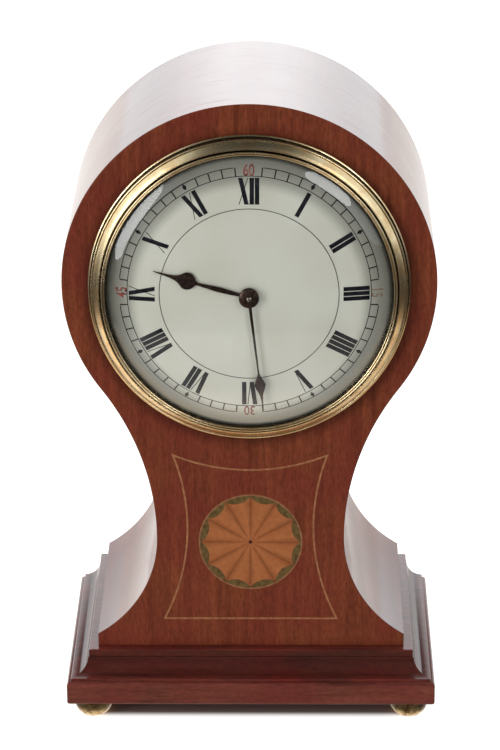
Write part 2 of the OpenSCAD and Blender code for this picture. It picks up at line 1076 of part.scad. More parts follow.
// Hour hand: a short arm, a round spade and a needle point
module hour_hand() {
    disc_at = 19.7;
    disc_r = 2.9;
    hub_r = 3;
    spade = polar(disc_at, 90 - hour_angle);
    color(blued)
        difference() {
            intersection() {
                hand_shell(hour_clear);
                union() {
                    rod(hub_r, -hand_reach, 0);
                    rod(disc_r, -hand_reach, 0, spade);
                    dial_layer(-hand_reach, 0)
                        rotate(-hour_angle)
                            polygon([
                                [-0.5, 0], [-0.7, 9], [-0.45, disc_at - 1], [-2.1, disc_at + 1.9],
                                [-0.45, disc_at + 5.2], [0, hour_len], [0.45, disc_at + 5.2],
                                [2.1, disc_at + 1.9], [0.45, disc_at - 1], [0.7, 9], [0.5, 0]
                            ]);
                }
            }
            rod(hour_pipe_r, -hand_reach, 0);
        }
}

module minute_wheel() {
    color(brass)
        difference() {
            union() {
                dial_layer(minute_wheel_y, minute_wheel_y + 1.2, minute_at)
                    minute_teeth();
                dial_layer(minute_pinion_y, minute_wheel_y, minute_at)
                    rotate(minute_dir + 180 + 180 / hour_teeth[0])
                        teeth_outline(hour_teeth[0], hour_m, leaf_add, leaf_ded, leaf_share);
            }
            rod(stud_r + run, minute_pinion_y - cut, front_plate_y, minute_at);
        }
}

module minute_teeth() {
    wheel_outline(cannon_teeth[1], cannon_m, minute_dir + 180, 2.4);
}

// Mainspring barrel and winding work
winding_r = 1.6;
great_gap = 7;
great_y = train_y + great_gap;
great_t = 1.8;
barrel_gap = 1.8;
barrel_back = back_plate_y - barrel_gap;
barrel_wall = 0.9;
cap_t = 0.8;
core_r = 3;
module barrel() {
    inner_front = great_y + great_t;
    color(brass)
        difference() {
            union() {
                dial_layer(great_y, great_y + great_t, barrel_at)
                    rotate(great_dir + 180)
                        teeth_outline(great_teeth[0], great_m, wheel_add, wheel_ded, wheel_share);
                rod(barrel_r, great_y, barrel_back, barrel_at);
            }
            rod(barrel_r - barrel_wall, inner_front, barrel_back + cut, barrel_at);
            rod(winding_r + run, great_y - cut, barrel_back, barrel_at);
        }
}

module barrel_cap() {
    color(brass)
        difference() {
            rod(barrel_r - barrel_wall, barrel_back - cap_t, barrel_back, barrel_at);
            rod(winding_r + run, barrel_back - 2 * cap_t, barrel_back + cut, barrel_at);
        }
}

spring_w = 0.4;
spring_turns = 8;
spring_in = core_r + 0.5;
spring_out = barrel_r - barrel_wall - 0.35;
module mainspring() {
    color(steel)
        dial_layer(great_y + great_t + 0.3, barrel_back - cap_t - 0.3, barrel_at)
            spiral_strip(spring_in, spring_out, spring_turns, spring_w);
}

module barrel_arbor() {
    square_w = 2.2;
    square_len = 20;
    square_end = rear_y + square_len;
    color(steel) {
        rod(winding_r, front_plate_y, ratchet_y + ratchet_t, barrel_at);
        rod(core_r, great_y + great_t + 0.05, barrel_back - cap_t - 0.05, barrel_at);
        dial_layer(ratchet_y + ratchet_t - cut, square_end, barrel_at)
            square(square_w, center = true);
    }
}

module ratchet_wheel() {
    pitch = 360 / ratchet_teeth;
    color(steel)
        dial_layer(ratchet_y, ratchet_y + ratchet_t, barrel_at)
            difference() {
                polygon([
                    for (i = [0:ratchet_teeth - 1])
                        for (p = [[ratchet_root, 0], [ratchet_tip, 0.12 * pitch]])
                            polar(p[0], i * pitch + p[1])
                ]);
                circle(r = winding_r);
            }
}

click_nose_r = 7.75;
click_nose = polar(click_nose_r, 35) - [click_out, 0];
click_w = 1.1;
module click() {
    color(steel)
        dial_layer(ratchet_y, ratchet_y + ratchet_t, click_at)
            difference() {
                union() {
                    circle(r = 1.7);
                    bar([0, 0], click_nose, click_w);
                }
                circle(r = stud_r + run);
            }
}

small_screw_r = 0.7;
spring_at = click_at + [8, 9];
module click_spring() {
    tip = click_at + click_nose + [3.3, 1.4];
    color(steel) {
        rod(small_screw_r, back_plate_y, ratchet_y + ratchet_t, spring_at);
        rod(1.5, rear_y, ratchet_y + ratchet_t, spring_at);
        dial_layer(ratchet_y, ratchet_y + ratchet_t)
            bar(spring_at, tip, 0.5);
    }
}

// Going train
wheel_t = 1.2;
pinion_lap = 0.5;
inter_y = train_y + 4;
third_y = train_y + 10;
fourth_y = back_plate_y - 3;

module intermediate_wheel() {
    color(brass) {
        arbor(inter_at, front_plate_y, rear_y);
        dial_layer(inter_y, inter_y + wheel_t, inter_at)
            wheel_outline(inter_teeth[0], inter_m, 0, 2);
        dial_layer(great_y - pinion_lap, great_y + great_t + pinion_lap, inter_at)
            pinion_outline(great_teeth[1], great_m, great_dir);
    }
}

module centre_wheel() {
    wheel_y = train_y + 1;
    color(brass)
        difference() {
            union() {
                rod(pipe_r, front_plate_y, rear_y);
                dial_layer(wheel_y, wheel_y + wheel_t)
                    wheel_outline(centre_teeth[0], centre_m, third_dir, 2.4);
                dial_layer(inter_y - pinion_lap, inter_y + wheel_t + pinion_lap)
                    pinion_outline(inter_teeth[1], inter_m, 180);
            }
            rod(centre_r + run, front_plate_y - cut, rear_y + cut);
        }
}

module third_wheel() {
    pinion_y = train_y + 1 - pinion_lap;
    color(brass) {
        arbor(third_at, front_plate_y, rear_y);
        dial_layer(third_y, third_y + wheel_t, third_at)
            wheel_outline(third_teeth[0], third_m, fourth_dir, 2);
        dial_layer(pinion_y, pinion_y + wheel_t + 2 * pinion_lap, third_at)
            pinion_outline(centre_teeth[1], centre_m, third_dir + 180);
    }
}

module fourth_wheel() {
    color(brass) {
        arbor(fourth_at, front_plate_y, rear_y);
        dial_layer(fourth_y, fourth_y + wheel_t, fourth_at)
            wheel_outline(fourth_teeth[0], fourth_m, escape_dir, 2);
        dial_layer(third_y - pinion_lap, third_y + wheel_t + pinion_lap, fourth_at)
            pinion_outline(third_teeth[1], third_m, fourth_dir + 180);
    }
}

// Platform escapement, laid out along the line from the escape wheel to the balance
function on_line(along, across) =
    escape_at + polar(along, line_dir) + polar(across, line_dir + 90);
platform_lead = 5;
platform_len = 26;
platform_w = 16.4;
platform_end = platform_len - platform_lead;
platform_screw_in = 2;
platform_screw_side = platform_w / 2 - 1.9;
platform_screw_at = [
    for (along = [platform_screw_in - platform_lead, platform_end - platform_screw_in])
        for (across = [-platform_screw_side, platform_screw_side])
            on_line(along, across)
];
cock_foot_in = 2.4;
cock_foot = on_line(platform_end - cock_foot_in, 0);
cock_gap = 7.3;
cock_y = platform_back + cock_gap;
cock_t = 1.4;
bridge_gap = 2.5;
bridge_y = platform_back + bridge_gap;
bridge_t = 0.8;
escape_gap = 0.7;
escape_y = platform_back + escape_gap;
escape_t = 0.6;

module on_platform(front, back) {
    dial_layer(front, back, escape_at)
        rotate(line_dir)
            children();
}

module platform() {
    post_r = 1.8;
    color(brass)
        difference() {
            union() {
                on_platform(platform_y, platform_back)
                    translate([-platform_lead, -platform_w / 2])
                        square([platform_len, platform_w]);
                for (at = platform_screw_at)
                    rod(post_r, rear_y, platform_y + platform_t / 2, at);
            }
            for (at = platform_screw_at)
                rod(small_screw_r, rear_y - cut, platform_back + cut, at);
            rod(pivot_r + run, platform_y - cut, platform_back + cut, escape_at);
            for (at = [lever_at, balance_at])
                rod(staff_r + run, platform_y - cut, platform_back + cut, at);
        }
}

module platform_screws() {
    color(steel)
        for (at = platform_screw_at) {
            rod(small_screw_r, back_plate_y + 0.3, platform_back, at);
            slotted_head(at, platform_back, platform_back + 0.8, 1.5, false);
        }
}

module escape_bridge() {
    post_r = 1.2;
    posts = [on_line(0.5, 5.6), on_line(0.5, -5.6)];
    color(brass)
        difference() {
            union() {
                for (at = posts)
                    rod(post_r, platform_back, bridge_y + bridge_t, at);
                dial_layer(bridge_y, bridge_y + bridge_t) {
                    for (at = posts)
                        bar(escape_at, at, 1.6);
                    bar(escape_at, lever_at, 2);
                }
            }
            rod(pivot_r + run, bridge_y - cut, bridge_y + bridge_t + cut, escape_at);
            rod(staff_r + run, bridge_y - cut, bridge_y + bridge_t + cut, lever_at);
        }
}

module escape_wheel() {
    pitch = 360 / escape_teeth;
    root = 2.5;
    color(steel) {
        rod(pivot_r, fourth_y - 1, bridge_y + bridge_t, escape_at);
        dial_layer(fourth_y - pinion_lap, fourth_y + wheel_t + pinion_lap, escape_at)
            pinion_outline(fourth_teeth[1], fourth_m, escape_dir + 180);
        dial_layer(escape_y, escape_y + escape_t, escape_at)
            polygon([
                for (i = [0:escape_teeth - 1])
                    for (p = [[root, -5], [escape_r, 2], [escape_r, 5], [root, 1]])
                        polar(p[0], i * pitch + p[1])
            ]);
    }
}

// Anchor arms that end in pallets, and a tail that ends in a fork
module pallet_lever() {
    pallet = polar(4.45, 42);
    pivot = [lever_along, 0];
    fork = [balance_along - 2.4, 0];
    color(steel) {
        rod(staff_r, platform_y, bridge_y + bridge_t, lever_at);
        on_platform(escape_y, escape_y + escape_t) {
            for (side = [1, -1]) {
                bar(pivot, [pallet[0], side * pallet[1]], 0.8);
                bar(fork, fork + [0.9, side * 0.55], 0.35);
            }
            bar(pivot, fork, 0.6);
        }
    }
}

balance_gap = 3.8;
balance_y = platform_back + balance_gap;
balance_r = 6;
spiral_gap = 5.5;
spiral_y = platform_back + spiral_gap;
module balance_wheel() {
    rim_t = 1;
    rim_w = 1;
    arm_w = 0.9;
    color(brass) {
        rod(staff_r, platform_y, cock_y + cock_t, balance_at);
        rod(1.2, bridge_y - 0.5, bridge_y, balance_at);
        rod(0.8, balance_y, spiral_y + 0.6, balance_at);
        on_platform(balance_y, balance_y + rim_t)
            translate([balance_along, 0]) {
                difference() {
                    circle(r = balance_r);
                    circle(r = balance_r - rim_w);
                }
                for (a = [0, 120, 240])
                    rotate(a)
                        translate([0, -arm_w / 2])
                            square([balance_r - rim_w / 2, arm_w]);
            }
    }
}

hair_w = 0.12;
hair_turns = 6;
hair_in = 0.8;
hair_out = 4.2;
module hairspring() {
    color(blued)
        on_platform(spiral_y, spiral_y + 0.6)
            translate([balance_along, 0])
                spiral_strip(hair_in + hair_w / 2, hair_out, hair_turns, hair_w);
}

boss_r = 1.2;
regulator_t = 0.6;
module balance_cock() {
    cock_foot_r = 1.6;
    cock_w = 2.8;
    stud = on_line(balance_along + 4.75, 0);
    color(brass)
        difference() {
            union() {
                rod(cock_foot_r, platform_back, cock_y + cock_t, cock_foot);
                rod(0.35, spiral_y, cock_y + cock_t / 2, stud);
                dial_layer(cock_y, cock_y + cock_t)
                    bar(balance_at, cock_foot, cock_w);
                rod(boss_r, cock_y, cock_y + cock_t + regulator_t, balance_at);
            }
            rod(staff_r + run, cock_y - cut, cock_y + 2 * cock_t, balance_at);
        }
}

module regulator() {
    from = cock_y + cock_t;
    index_len = 6.2;
    index_w = 0.7;
    color(steel)
        on_platform(from, from + regulator_t)
            translate([balance_along, 0])
                difference() {
                    union() {
                        circle(r = 2.1);
                        bar([0, 0], [index_len, 0], index_w);
                    }
                    circle(r = boss_r + run);
                }
}

// Least gap between the turns of each spiral spring
function least_gap(r0, r1, turns, w) = (r1 - r0) / turns - w;
echo(mainspring_gap = least_gap(spring_in, spring_out, spring_turns, spring_w));
echo(hairspring_gap = least_gap(hair_in + hair_w / 2, hair_out, hair_turns, hair_w));

front_left_foot();
front_right_foot();
rear_left_foot();
rear_right_foot();
plinth_slab();
plinth_moulding();
carcass();
side_veneer();
front_panel();
back_panel();
stringing();
patera_petals();
patera_scallops();
patera_ring();
bezel_mount();
front_bezel();
glass();
glass_ring();
dial();
dial_pan();
movement_legs();
front_plate();
back_plate();
plate_pillars();
plate_screws();
fixing_straps();
strap_screws();
back_ring();
ring_screws();
back_door();
door_knob();
hinge_pin();
centre_arbor();
cannon_pinion();
minute_hand();
hand_collet();
set_knob();
hour_wheel();
hour_hand();
minute_wheel();
barrel();
barrel_cap();
mainspring();
barrel_arbor();
ratchet_wheel();
click();
click_spring();
intermediate_wheel();
centre_wheel();
third_wheel();
fourth_wheel();
platform();
platform_screws();
escape_bridge();
escape_wheel();
pallet_lever();
balance_wheel();
hairspring();
balance_cock();
regulator();
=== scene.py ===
# %% [markdown]
# # An inlaid balloon clock
# This lesson dresses a small mahogany mantel clock. The solids come from a CAD model that stays fixed, and
# every piece made here is put in the same place, in metres, with the clock facing -Y and standing on Z = 0.
# Pieces that the eye reads closely are modelled again with finer edges: the boards, the inlay, the bezel,
# the glass, the dial with its printing, the hands and the feet. The clockwork keeps its CAD solids.

# %% Load the fixed frame
import functools
import math

import bpy
from mathutils import Matrix, Vector


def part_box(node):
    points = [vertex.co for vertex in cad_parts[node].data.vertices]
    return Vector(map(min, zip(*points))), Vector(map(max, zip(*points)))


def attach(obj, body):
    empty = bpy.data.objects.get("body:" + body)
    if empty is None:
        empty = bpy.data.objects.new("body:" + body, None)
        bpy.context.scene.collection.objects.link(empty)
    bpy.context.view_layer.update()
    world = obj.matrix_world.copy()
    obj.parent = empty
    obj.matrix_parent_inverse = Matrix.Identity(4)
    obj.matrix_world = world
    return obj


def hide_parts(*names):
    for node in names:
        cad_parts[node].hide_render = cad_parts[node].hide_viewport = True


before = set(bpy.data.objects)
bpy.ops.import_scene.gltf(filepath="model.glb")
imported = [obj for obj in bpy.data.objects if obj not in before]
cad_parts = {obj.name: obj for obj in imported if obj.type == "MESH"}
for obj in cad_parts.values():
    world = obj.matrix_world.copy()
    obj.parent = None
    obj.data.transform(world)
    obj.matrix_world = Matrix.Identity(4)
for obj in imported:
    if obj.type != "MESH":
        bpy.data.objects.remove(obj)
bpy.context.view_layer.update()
print("CAD nodes:", len(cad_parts))

# %% [markdown]
# ## Sizes
# Lengths below are in millimetres, as on a drawing. Depth is given as the distance in front of the case's
# face, so the dial and the bezel have positive values and the clockwork negative ones. The places that
# matter most are read from the frame, so that a new pack moves the dressing with it.

# %% Main sizes and places
MM = 0.001
panel_low, panel_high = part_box("front_panel")
dial_low, dial_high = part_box("dial")
slab_low, slab_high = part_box("plinth_slab")
face_y = panel_low.y
case_depth = (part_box("back_panel")[1].y - face_y) / MM
dial_z = (dial_low.z + dial_high.z) / 2 / MM
dial_axis = Vector((0, face_y, dial_z * MM))
drum_r = panel_high.x / MM
drum_z = panel_high.z / MM - drum_r
body_z = panel_low.z / MM
slab_margin = 9.9
foot_half = slab_high.x / MM - slab_margin
panel_t = 6
veneer_t = 0.8
inlay_t = 0.8
bore_r = 46.9


def place(x, front, z):
    """A point of the drawing, as a place in the scene."""
    return Vector((x * MM, face_y - front * MM, z * MM))


def polar(r, degrees):
    """A point at a radius and an angle, counted from the first axis."""
    return r * math.cos(math.radians(degrees)), r * math.sin(math.radians(degrees))


def arc(centre, r, start, end, count):
    """Points along an arc, both ends among them."""
    spokes = [polar(r, start + (end - start) * i / count) for i in range(count + 1)]
    return [(centre[0] + x, centre[1] + y) for x, y in spokes]


print("Dial centre at", round(dial_z, 3), "mm, case", round(case_depth, 2), "mm deep")

# %% [markdown]
# ## Working by hand
# A draughtsman's way to make an outline in Blender is to collapse a plane to one point and to pull that
# point along the outline with Extrude. A line drawn like this is filled and extruded to make a board, or
# spun about an axis to make a turned piece. These few helpers do both, clean the mesh and name the piece.

# %% Helpers for modelling
SMOOTH = math.radians(32)
WELD = 0.0005 * MM


def only(piece):
    """Selects one piece and nothing else."""
    bpy.ops.object.select_all(action="DESELECT")
    piece.select_set(True)
    bpy.context.view_layer.objects.active = piece


def edit(piece):
    """Opens one piece in edit mode, with all of it selected."""
    only(piece)
    bpy.ops.object.mode_set(mode="EDIT")
    bpy.ops.mesh.select_all(action="SELECT")


def begin(name, primitive, **settings):
    """Adds something to work on, with nothing else selected, and names it."""
    bpy.ops.object.select_all(action="DESELECT")
    primitive(**settings)
    bpy.context.object.name = name
    return bpy.context.object


def draw_line(name, points):
    """Pulls one vertex from point to point, then selects the line and stays in edit mode."""
    piece = begin(name, bpy.ops.mesh.primitive_plane_add, size=MM)
    edit(piece)
    bpy.ops.mesh.merge(type="CENTER")
    bpy.ops.transform.translate(value=points[0])
    for here, there in zip(points, points[1:]):
        bpy.ops.mesh.extrude_vertices_move(TRANSFORM_OT_translate={"value": there - here})
    bpy.ops.mesh.select_all(action="SELECT")
    return piece


def thicken(depth):
    """Extrudes what is selected towards the back."""
    bpy.ops.mesh.extrude_region_move(TRANSFORM_OT_translate={"value": (0, depth * MM, 0)})


def close_mesh(piece):
    """Merges doubles, turns the faces outwards and shades the round parts smooth."""
    bpy.ops.mesh.select_all(action="SELECT")
    bpy.ops.mesh.remove_doubles(threshold=WELD)
    bpy.ops.mesh.normals_make_consistent(inside=False)
    bpy.ops.object.mode_set(mode="OBJECT")
    only(piece)
    bpy.ops.object.shade_smooth_by_angle(angle=SMOOTH)
    return piece


def spin_line(name, points, centre, axis, steps, sweep=360):
    """A piece turned on a lathe: a line spun about an axis through a centre."""
    piece = draw_line(name, points)
    bpy.ops.mesh.spin(steps=steps, angle=math.radians(sweep), center=centre, axis=axis)
    return close_mesh(piece)


def turn(name, profile, steps=192, sweep=360):
    """A piece turned about the dial's axis, from a profile of radius and distance in front of the case."""
    points = [place(r, front, dial_z) for r, front in profile]
    return spin_line(name, points, dial_axis, (0, 1, 0), steps, sweep)


def plate(name, outline, front, thick):
    """A flat board from an outline of x and z, made thick towards the back."""
    piece = draw_line(name, [place(x, front, z) for x, z in outline])
    bpy.ops.mesh.edge_face_add()
    thicken(thick)
    return close_mesh(piece)


def modify(piece, kind, **settings):
    """Adds a modifier with its settings and applies it."""
    only(piece)
    bpy.ops.object.modifier_add(type=kind)
    added = piece.modifiers[-1]
    for key, value in settings.items():
        setattr(added, key, value)
    bpy.ops.object.modifier_apply(modifier=added.name)


def at_depth(y):
    """A test for edges that lie at one depth."""
    return lambda a, b: abs(a.y - y) < WELD and abs(b.y - y) < WELD


def bevel_edges(piece, width, segments, chosen):
    """Rounds the edges that a test of their two ends chooses."""
    edit(piece)
    bpy.ops.mesh.select_mode(type="EDGE")
    bpy.ops.mesh.select_all(action="DESELECT")
    bpy.ops.object.mode_set(mode="OBJECT")
    for edge in piece.data.edges:
        edge.select = chosen(*(piece.data.vertices[i].co for i in edge.vertices))
    bpy.ops.object.mode_set(mode="EDIT")
    bpy.ops.mesh.bevel(offset=width * MM, segments=segments, affect="EDGES")
    bpy.ops.mesh.select_mode(type="VERT")
    close_mesh(piece)


def cut_away(piece, cutter):
    """Cuts one piece out of another, and throws the cutter away."""
    modify(piece, "BOOLEAN", operation="DIFFERENCE", solver="MANIFOLD", object=cutter)
    bpy.data.objects.remove(cutter)
    bpy.ops.object.shade_smooth_by_angle(angle=SMOOTH)


def settle(piece, matrix):
    """Moves a piece by a matrix and keeps the move in its mesh."""
    only(piece)
    bpy.context.view_layer.update()
    piece.matrix_world = matrix
    bpy.ops.object.transform_apply(location=True, rotation=True, scale=True)


def about_dial(clock_turn):
    """A turn about the dial's axis, clockwise as seen from the front."""
    turned = Matrix.Rotation(math.radians(clock_turn), 4, "Y")
    return Matrix.Translation(dial_axis) @ turned @ Matrix.Translation(-dial_axis)


def join(pieces, name):
    """Several pieces joined into one."""
    only(pieces[0])
    for other in pieces[1:]:
        other.select_set(True)
    if pieces[1:]:
        bpy.ops.object.join()
    pieces[0].name = name
    return pieces[0]


def copies(piece, matrices, name):
    """Copies of one piece, each with its own mesh, joined under one name. The first piece is used up."""
    made = []
    for matrix in matrices:
        twin = piece.copy()
        twin.data = piece.data.copy()
        bpy.context.collection.objects.link(twin)
        twin.matrix_world = matrix
        made.append(twin)
    bpy.data.objects.remove(piece)
    joined = join(made, name)
    bpy.ops.object.transform_apply(location=True, rotation=True, scale=True)
    return joined


print("Helpers ready")

# %% [markdown]
# ## Materials
# Each finish is a small node tree. One function adds a node with its settings and its links, and another
# turns a colour written as sRGB hex into the linear values that the shader works with. Patterns are drawn
# on Object coordinates, because every piece sits at the origin and its coordinates are its real place.

# %% Helpers for materials
# Some inputs are known by number: a Mix node's two colours, and 1 to 4 for the ends of a Map Range.
MIX_A, MIX_B = 6, 7
TIMES, LARGER, SMALLER = ({"operation": word} for word in ("MULTIPLY", "MAXIMUM", "MINIMUM"))
SMOOTHSTEP = {"interpolation_type": "SMOOTHSTEP"}
BLEND = {"data_type": "RGBA"}
DARKEN = BLEND | {"blend_type": "MULTIPLY", 0: 1.0}


def linear(colour):
    """An sRGB hex colour as linear red, green, blue and alpha."""
    parts = [int(colour[i:i + 2], 16) / 255 for i in (1, 3, 5)]
    return [p / 12.92 if p <= 0.04045 else ((p + 0.055) / 1.055) ** 2.4 for p in parts] + [1.0]


def add_node(tree, kind, settings=None, links=None):
    """Adds one node. A setting is an input, a property, or the stops of a ramp.

    A link comes from a socket, or from a node, whose first output in use is taken.
    """
    made = tree.nodes.new("ShaderNode" + kind)
    for key, value in (settings or {}).items():
        if key == "stops":
            ramp = made.color_ramp.elements
            while len(ramp) < len(value):
                ramp.new(0.5)
            for stop, (at, colour) in zip(ramp, value):
                stop.position = at
                stop.color = linear(colour) if isinstance(colour, str) else [colour] * 3 + [1.0]
        elif isinstance(key, int) or key in made.inputs:
            is_colour = isinstance(value, str) and value.startswith("#")
            made.inputs[key].default_value = linear(value) if is_colour else value
        else:
            setattr(made, key, value)
    for key, source in (links or {}).items():
        if isinstance(source, bpy.types.Node):
            source = next(socket for socket in source.outputs if socket.enabled)
        tree.links.new(source, made.inputs[key])
    return made


def adder(tree):
    """Clears a node tree, and gives the function that adds a node to it."""
    tree.nodes.clear()
    return functools.partial(add_node, tree)


def material(name, build, *choices, **named):
    """A material from a function that adds its nodes, by the real place of each point, and gives a shader."""
    made = bpy.data.materials.new(name)
    made.use_nodes = True
    add = adder(made.node_tree)
    shader = build(add, add("TexCoord").outputs["Object"], *choices, **named)
    add("OutputMaterial", {}, {"Surface": shader})
    return made


def patches(add, where, size, detail, rough=0.5):
    """Noise with patches of a real size in millimetres, the same all ways or one for each axis."""
    sizes = size if isinstance(size, list) else [size] * 3
    scaled = add("Mapping", {"Scale": [1 / (s * MM) for s in sizes]}, {0: where})
    return add("TexNoise", {"Scale": 1.0, "Detail": detail, "Roughness": rough}, {0: scaled})


def follow(add, length, steps):
    """A share up to 2 that follows a length, from pairs of millimetres and a share."""
    low, high = steps[0][0], steps[-1][0]
    along = add("MapRange", {1: low * MM, 2: high * MM}, {0: length})
    stops = [((at - low) / (high - low), share / 2) for at, share in steps]
    half = add("ValToRGB", {"stops": stops}, {0: along})
    return add("Math", TIMES | {1: 2.0}, {0: half})


def dial_radius(add, where, drop=0.0, widen=1.0):
    """Distance from the dial's axis, or from a line a little below it, or as an oval."""
    moved = {"Location": (0, 0, (drop - dial_z) * MM), "Scale": (widen, 0, 1)}
    flat = add("Mapping", moved, {0: where})
    return add("VectorMath", {"operation": "LENGTH"}, {0: flat})


print("Linear mid red:", [round(c, 3) for c in linear("#6B3023")])

# %% [markdown]
# ### French-polished mahogany
# Mahogany is a red-brown wood with short dark pores along the grain, soft ribbons of lighter and darker
# fibre, and a broad mottle. French polish lies on it as a thin clear coat, so the wood itself is a little
# rough and the coat above it is sharp. Real pores are 0.1 to 0.2 mm wide. They are drawn about 0.5 mm wide
# here, so that they show at the size of the picture. The grain runs up the front, from front to back on
# the bent side veneer, and across the plinth. Painted shade darkens the tone beside the bezel and in the
# hollow of the cove, where a painted highlight runs along its foot and the fillet's edge. The polish
# changes from place to place, and is worn in streaks round the head.

# %% Mahogany
# Tone by height in millimetres: painted shade in the hollow, painted highlight at its foot and the fillet's
# edge.
cove_shade_steps = [(14.4, 1.6), (15.3, 1.5), (15.8, 0.85), (20.4, 0.72), (22.6, 0.8), (22.95, 1.6), (23.2, 1.6)]


def bezel_painted_shadow(add, where):
    """Painted shadow of the bezel: a soft darker band in the wood beside it, most of all below it."""
    band = {1: 49.5 * MM, 2: 54 * MM, 3: 0.62, 4: 1.0}
    return add("MapRange", band | SMOOTHSTEP, {0: dial_radius(add, where, 1.0)})


def cove_painted_shade(add, where):
    """Painted shade darkens the hollow, and a painted highlight lightens its foot and the fillet's upper
    edge.
    """
    spot = add("SeparateXYZ", {}, {0: where})
    return follow(add, spot.outputs["Z"], cove_shade_steps)


def glancing_polish(add, where):
    """Polish that shows where the wood is seen at a slant, as on the plinth's ends, but not underneath."""
    look = add("LayerWeight")
    glance = add("MapRange", {1: 0.45, 2: 0.6}, {0: look.outputs["Facing"]})
    spot = add("SeparateXYZ", {}, {0: where})
    above = add("MapRange", {1: 7.6 * MM, 2: 8.6 * MM}, {0: spot.outputs["Z"]})
    return add("Math", TIMES, {0: glance, 1: above})


def worn_polish(add, where):
    """Polish that is full at the front and above, duller at the back of the foot, and rubbed in streaks."""
    spot = add("SeparateXYZ", {}, {0: where})
    deep = add("MapRange", {1: -30 * MM, 2: 25 * MM, 4: 0.6}, {0: spot.outputs["Y"]})
    low = add("MapRange", {1: 95 * MM, 2: 65 * MM}, {0: spot.outputs["Z"]})
    dull = add("Math", TIMES, {0: deep, 1: low})
    streaks = patches(add, where, [26, 0.9, 26], 3.0, 0.6)
    rubbed = add("MapRange", {1: 0.58, 2: 0.76, 4: 0.36}, {0: streaks})
    worn = add("Math", LARGER, {0: dull, 1: rubbed})
    return add("Math", {"operation": "SUBTRACT", 0: 1.0}, {1: worn})


def mahogany(add, where, along, light, dark, red, polish=None, rough=0.4, shine=0.5, tones=None):
    """Mahogany with its grain along one axis, 0 for x, 1 for y and 2 for z.

    Shade and highlight can be painted into its tone by place, and polish is the share of clear coat.
    """

    def grain(across, length, detail, roughness=0.5):
        sizes = [across] * 3
        sizes[along] = length
        return patches(add, where, sizes, detail, roughness)

    mottle = grain(15, 19, 2.0)
    ribbon = add("ValToRGB", {"stops": [(0.32, dark), (0.68, light)]}, {0: grain(2.6, 42, 4.0, 0.6)})
    red_share = add("ValToRGB", {"stops": [(0.36, 0.0), (0.7, 0.75)]}, {0: mottle})
    toned = add("Mix", BLEND | {MIX_B: red}, {0: red_share, MIX_A: ribbon})
    pores = add("ValToRGB", {"stops": [(0.52, 0.0), (0.72, 0.42)]}, {0: grain(0.5, 3.6, 3.0, 0.65)})
    pored = add("Mix", BLEND | {MIX_B: "#3A1710"}, {0: pores, MIX_A: toned})
    level = add("MapRange", {1: 0.28, 2: 0.72, 3: 0.8, 4: 1.2}, {0: grain(0.9, 2.4, 2.0, 0.6)})
    # Painted shade and painted highlight multiply the tone here, by place.
    if tones:
        level = add("Math", TIMES, {0: level, 1: tones(add, where)})
    links = {
        "Base Color": add("HueSaturation", {}, {"Color": pored, "Value": level}),
        "Roughness": add("MapRange", {3: rough - 0.06, 4: rough + 0.08}, {0: mottle}),
        "Normal": add("Bump", {"Strength": 0.12, "Distance": 0.05 * MM, "invert": True}, {"Height": pores}),
    }
    if polish:
        links["Coat Weight"] = polish(add, where)
    coat = {"Coat Roughness": 0.12, "Coat IOR": 1.5}
    return add("BsdfPrincipled", {"IOR": 1.5, "Specular IOR Level": shine} | coat, links)


panel_wood = material("mahogany_panel", mahogany, 2, "#7A3E26", "#5C2A19", "#692A20", shine=0.08,
                      tones=bezel_painted_shadow)
side_wood = material("mahogany_side", mahogany, 1, "#86462F", "#683325", "#76352A", worn_polish, rough=0.22)
slab_wood = material("mahogany_slab", mahogany, 0, "#743C30", "#482019", "#622722", glancing_polish,
                     shine=0.15)
# The cove's colours are darker than the slab's: painted shade for its hollow.
cove_wood = material("mahogany_cove", mahogany, 0, "#5A2A22", "#341613", "#561C18", glancing_polish,
                     shine=0.12, tones=cove_painted_shade)
inner_wood = material("mahogany_inside", mahogany, 2, "#5F3325", "#4A261B", "#55291F", rough=0.6, shine=0.2)
print("Mahogany finishes ready")

# %% [markdown]
# ### Inlay woods
# Boxwood lines are pale and almost without figure. The fan is satinwood whose petals were dipped in hot
# sand, so each one darkens towards its seams, and the scallops are sycamore stained green that has browned.
# The scorched seams are drawn from the angle round the fan's centre, worked out with an arctangent.

# %% Inlay woods
patera_z = 59.9
petal_count = 12
WAXED = {"Roughness": 0.42, "IOR": 1.5, "Specular IOR Level": 0.1}


def line_wood(add, where, light, dark):
    """A plain wood with soft patches about 1.5 mm wide."""
    stops = {"stops": [(0.35, dark), (0.65, light)]}
    tone = add("ValToRGB", stops, {0: patches(add, where, 1.5, 3.0)})
    return add("BsdfPrincipled", WAXED, {"Base Color": tone})


def petal_wood(add, where):
    """Sand-shaded satinwood, darkest at the seams between the petals."""
    centred = add("Mapping", {"Location": (0, 0, -patera_z * MM)}, {0: where})
    axes = add("SeparateXYZ", {}, {0: centred})
    angle = add("Math", {"operation": "ARCTAN2"}, {0: axes.outputs["Z"], 1: axes.outputs["X"]})
    petals = add("Math", TIMES | {1: petal_count / (2 * math.pi)}, {0: angle})
    across = add("Math", {"operation": "FLOORED_MODULO", 1: 1.0}, {0: petals})
    scorch = [(0.0, "#764226"), (0.04, "#8E5430"), (0.3, "#A2623A"), (0.75, "#9E5E37"), (0.93, "#8F522E"),
              (1.0, "#764226")]
    shade = add("ValToRGB", {"stops": scorch}, {0: across})
    grain = add("ValToRGB", {"stops": [(0.3, 0.82), (0.7, 1.0)]}, {0: patches(add, where, 1.6, 4.0)})
    toned = add("Mix", DARKEN, {MIX_A: shade, MIX_B: grain})
    return add("BsdfPrincipled", WAXED, {"Base Color": toned})


boxwood = material("boxwood_line", line_wood, "#986846", "#805036")
fan_line_wood = material("boxwood_fan_line", line_wood, "#8C6242", "#744A32")
green_wood = material("green_stained_sycamore", line_wood, "#66522F", "#4C3A20")
eye_wood = material("scorched_wood", line_wood, "#45231A", "#331811")
satinwood = material("sand_shaded_satinwood", petal_wood)
print("Inlay woods ready")
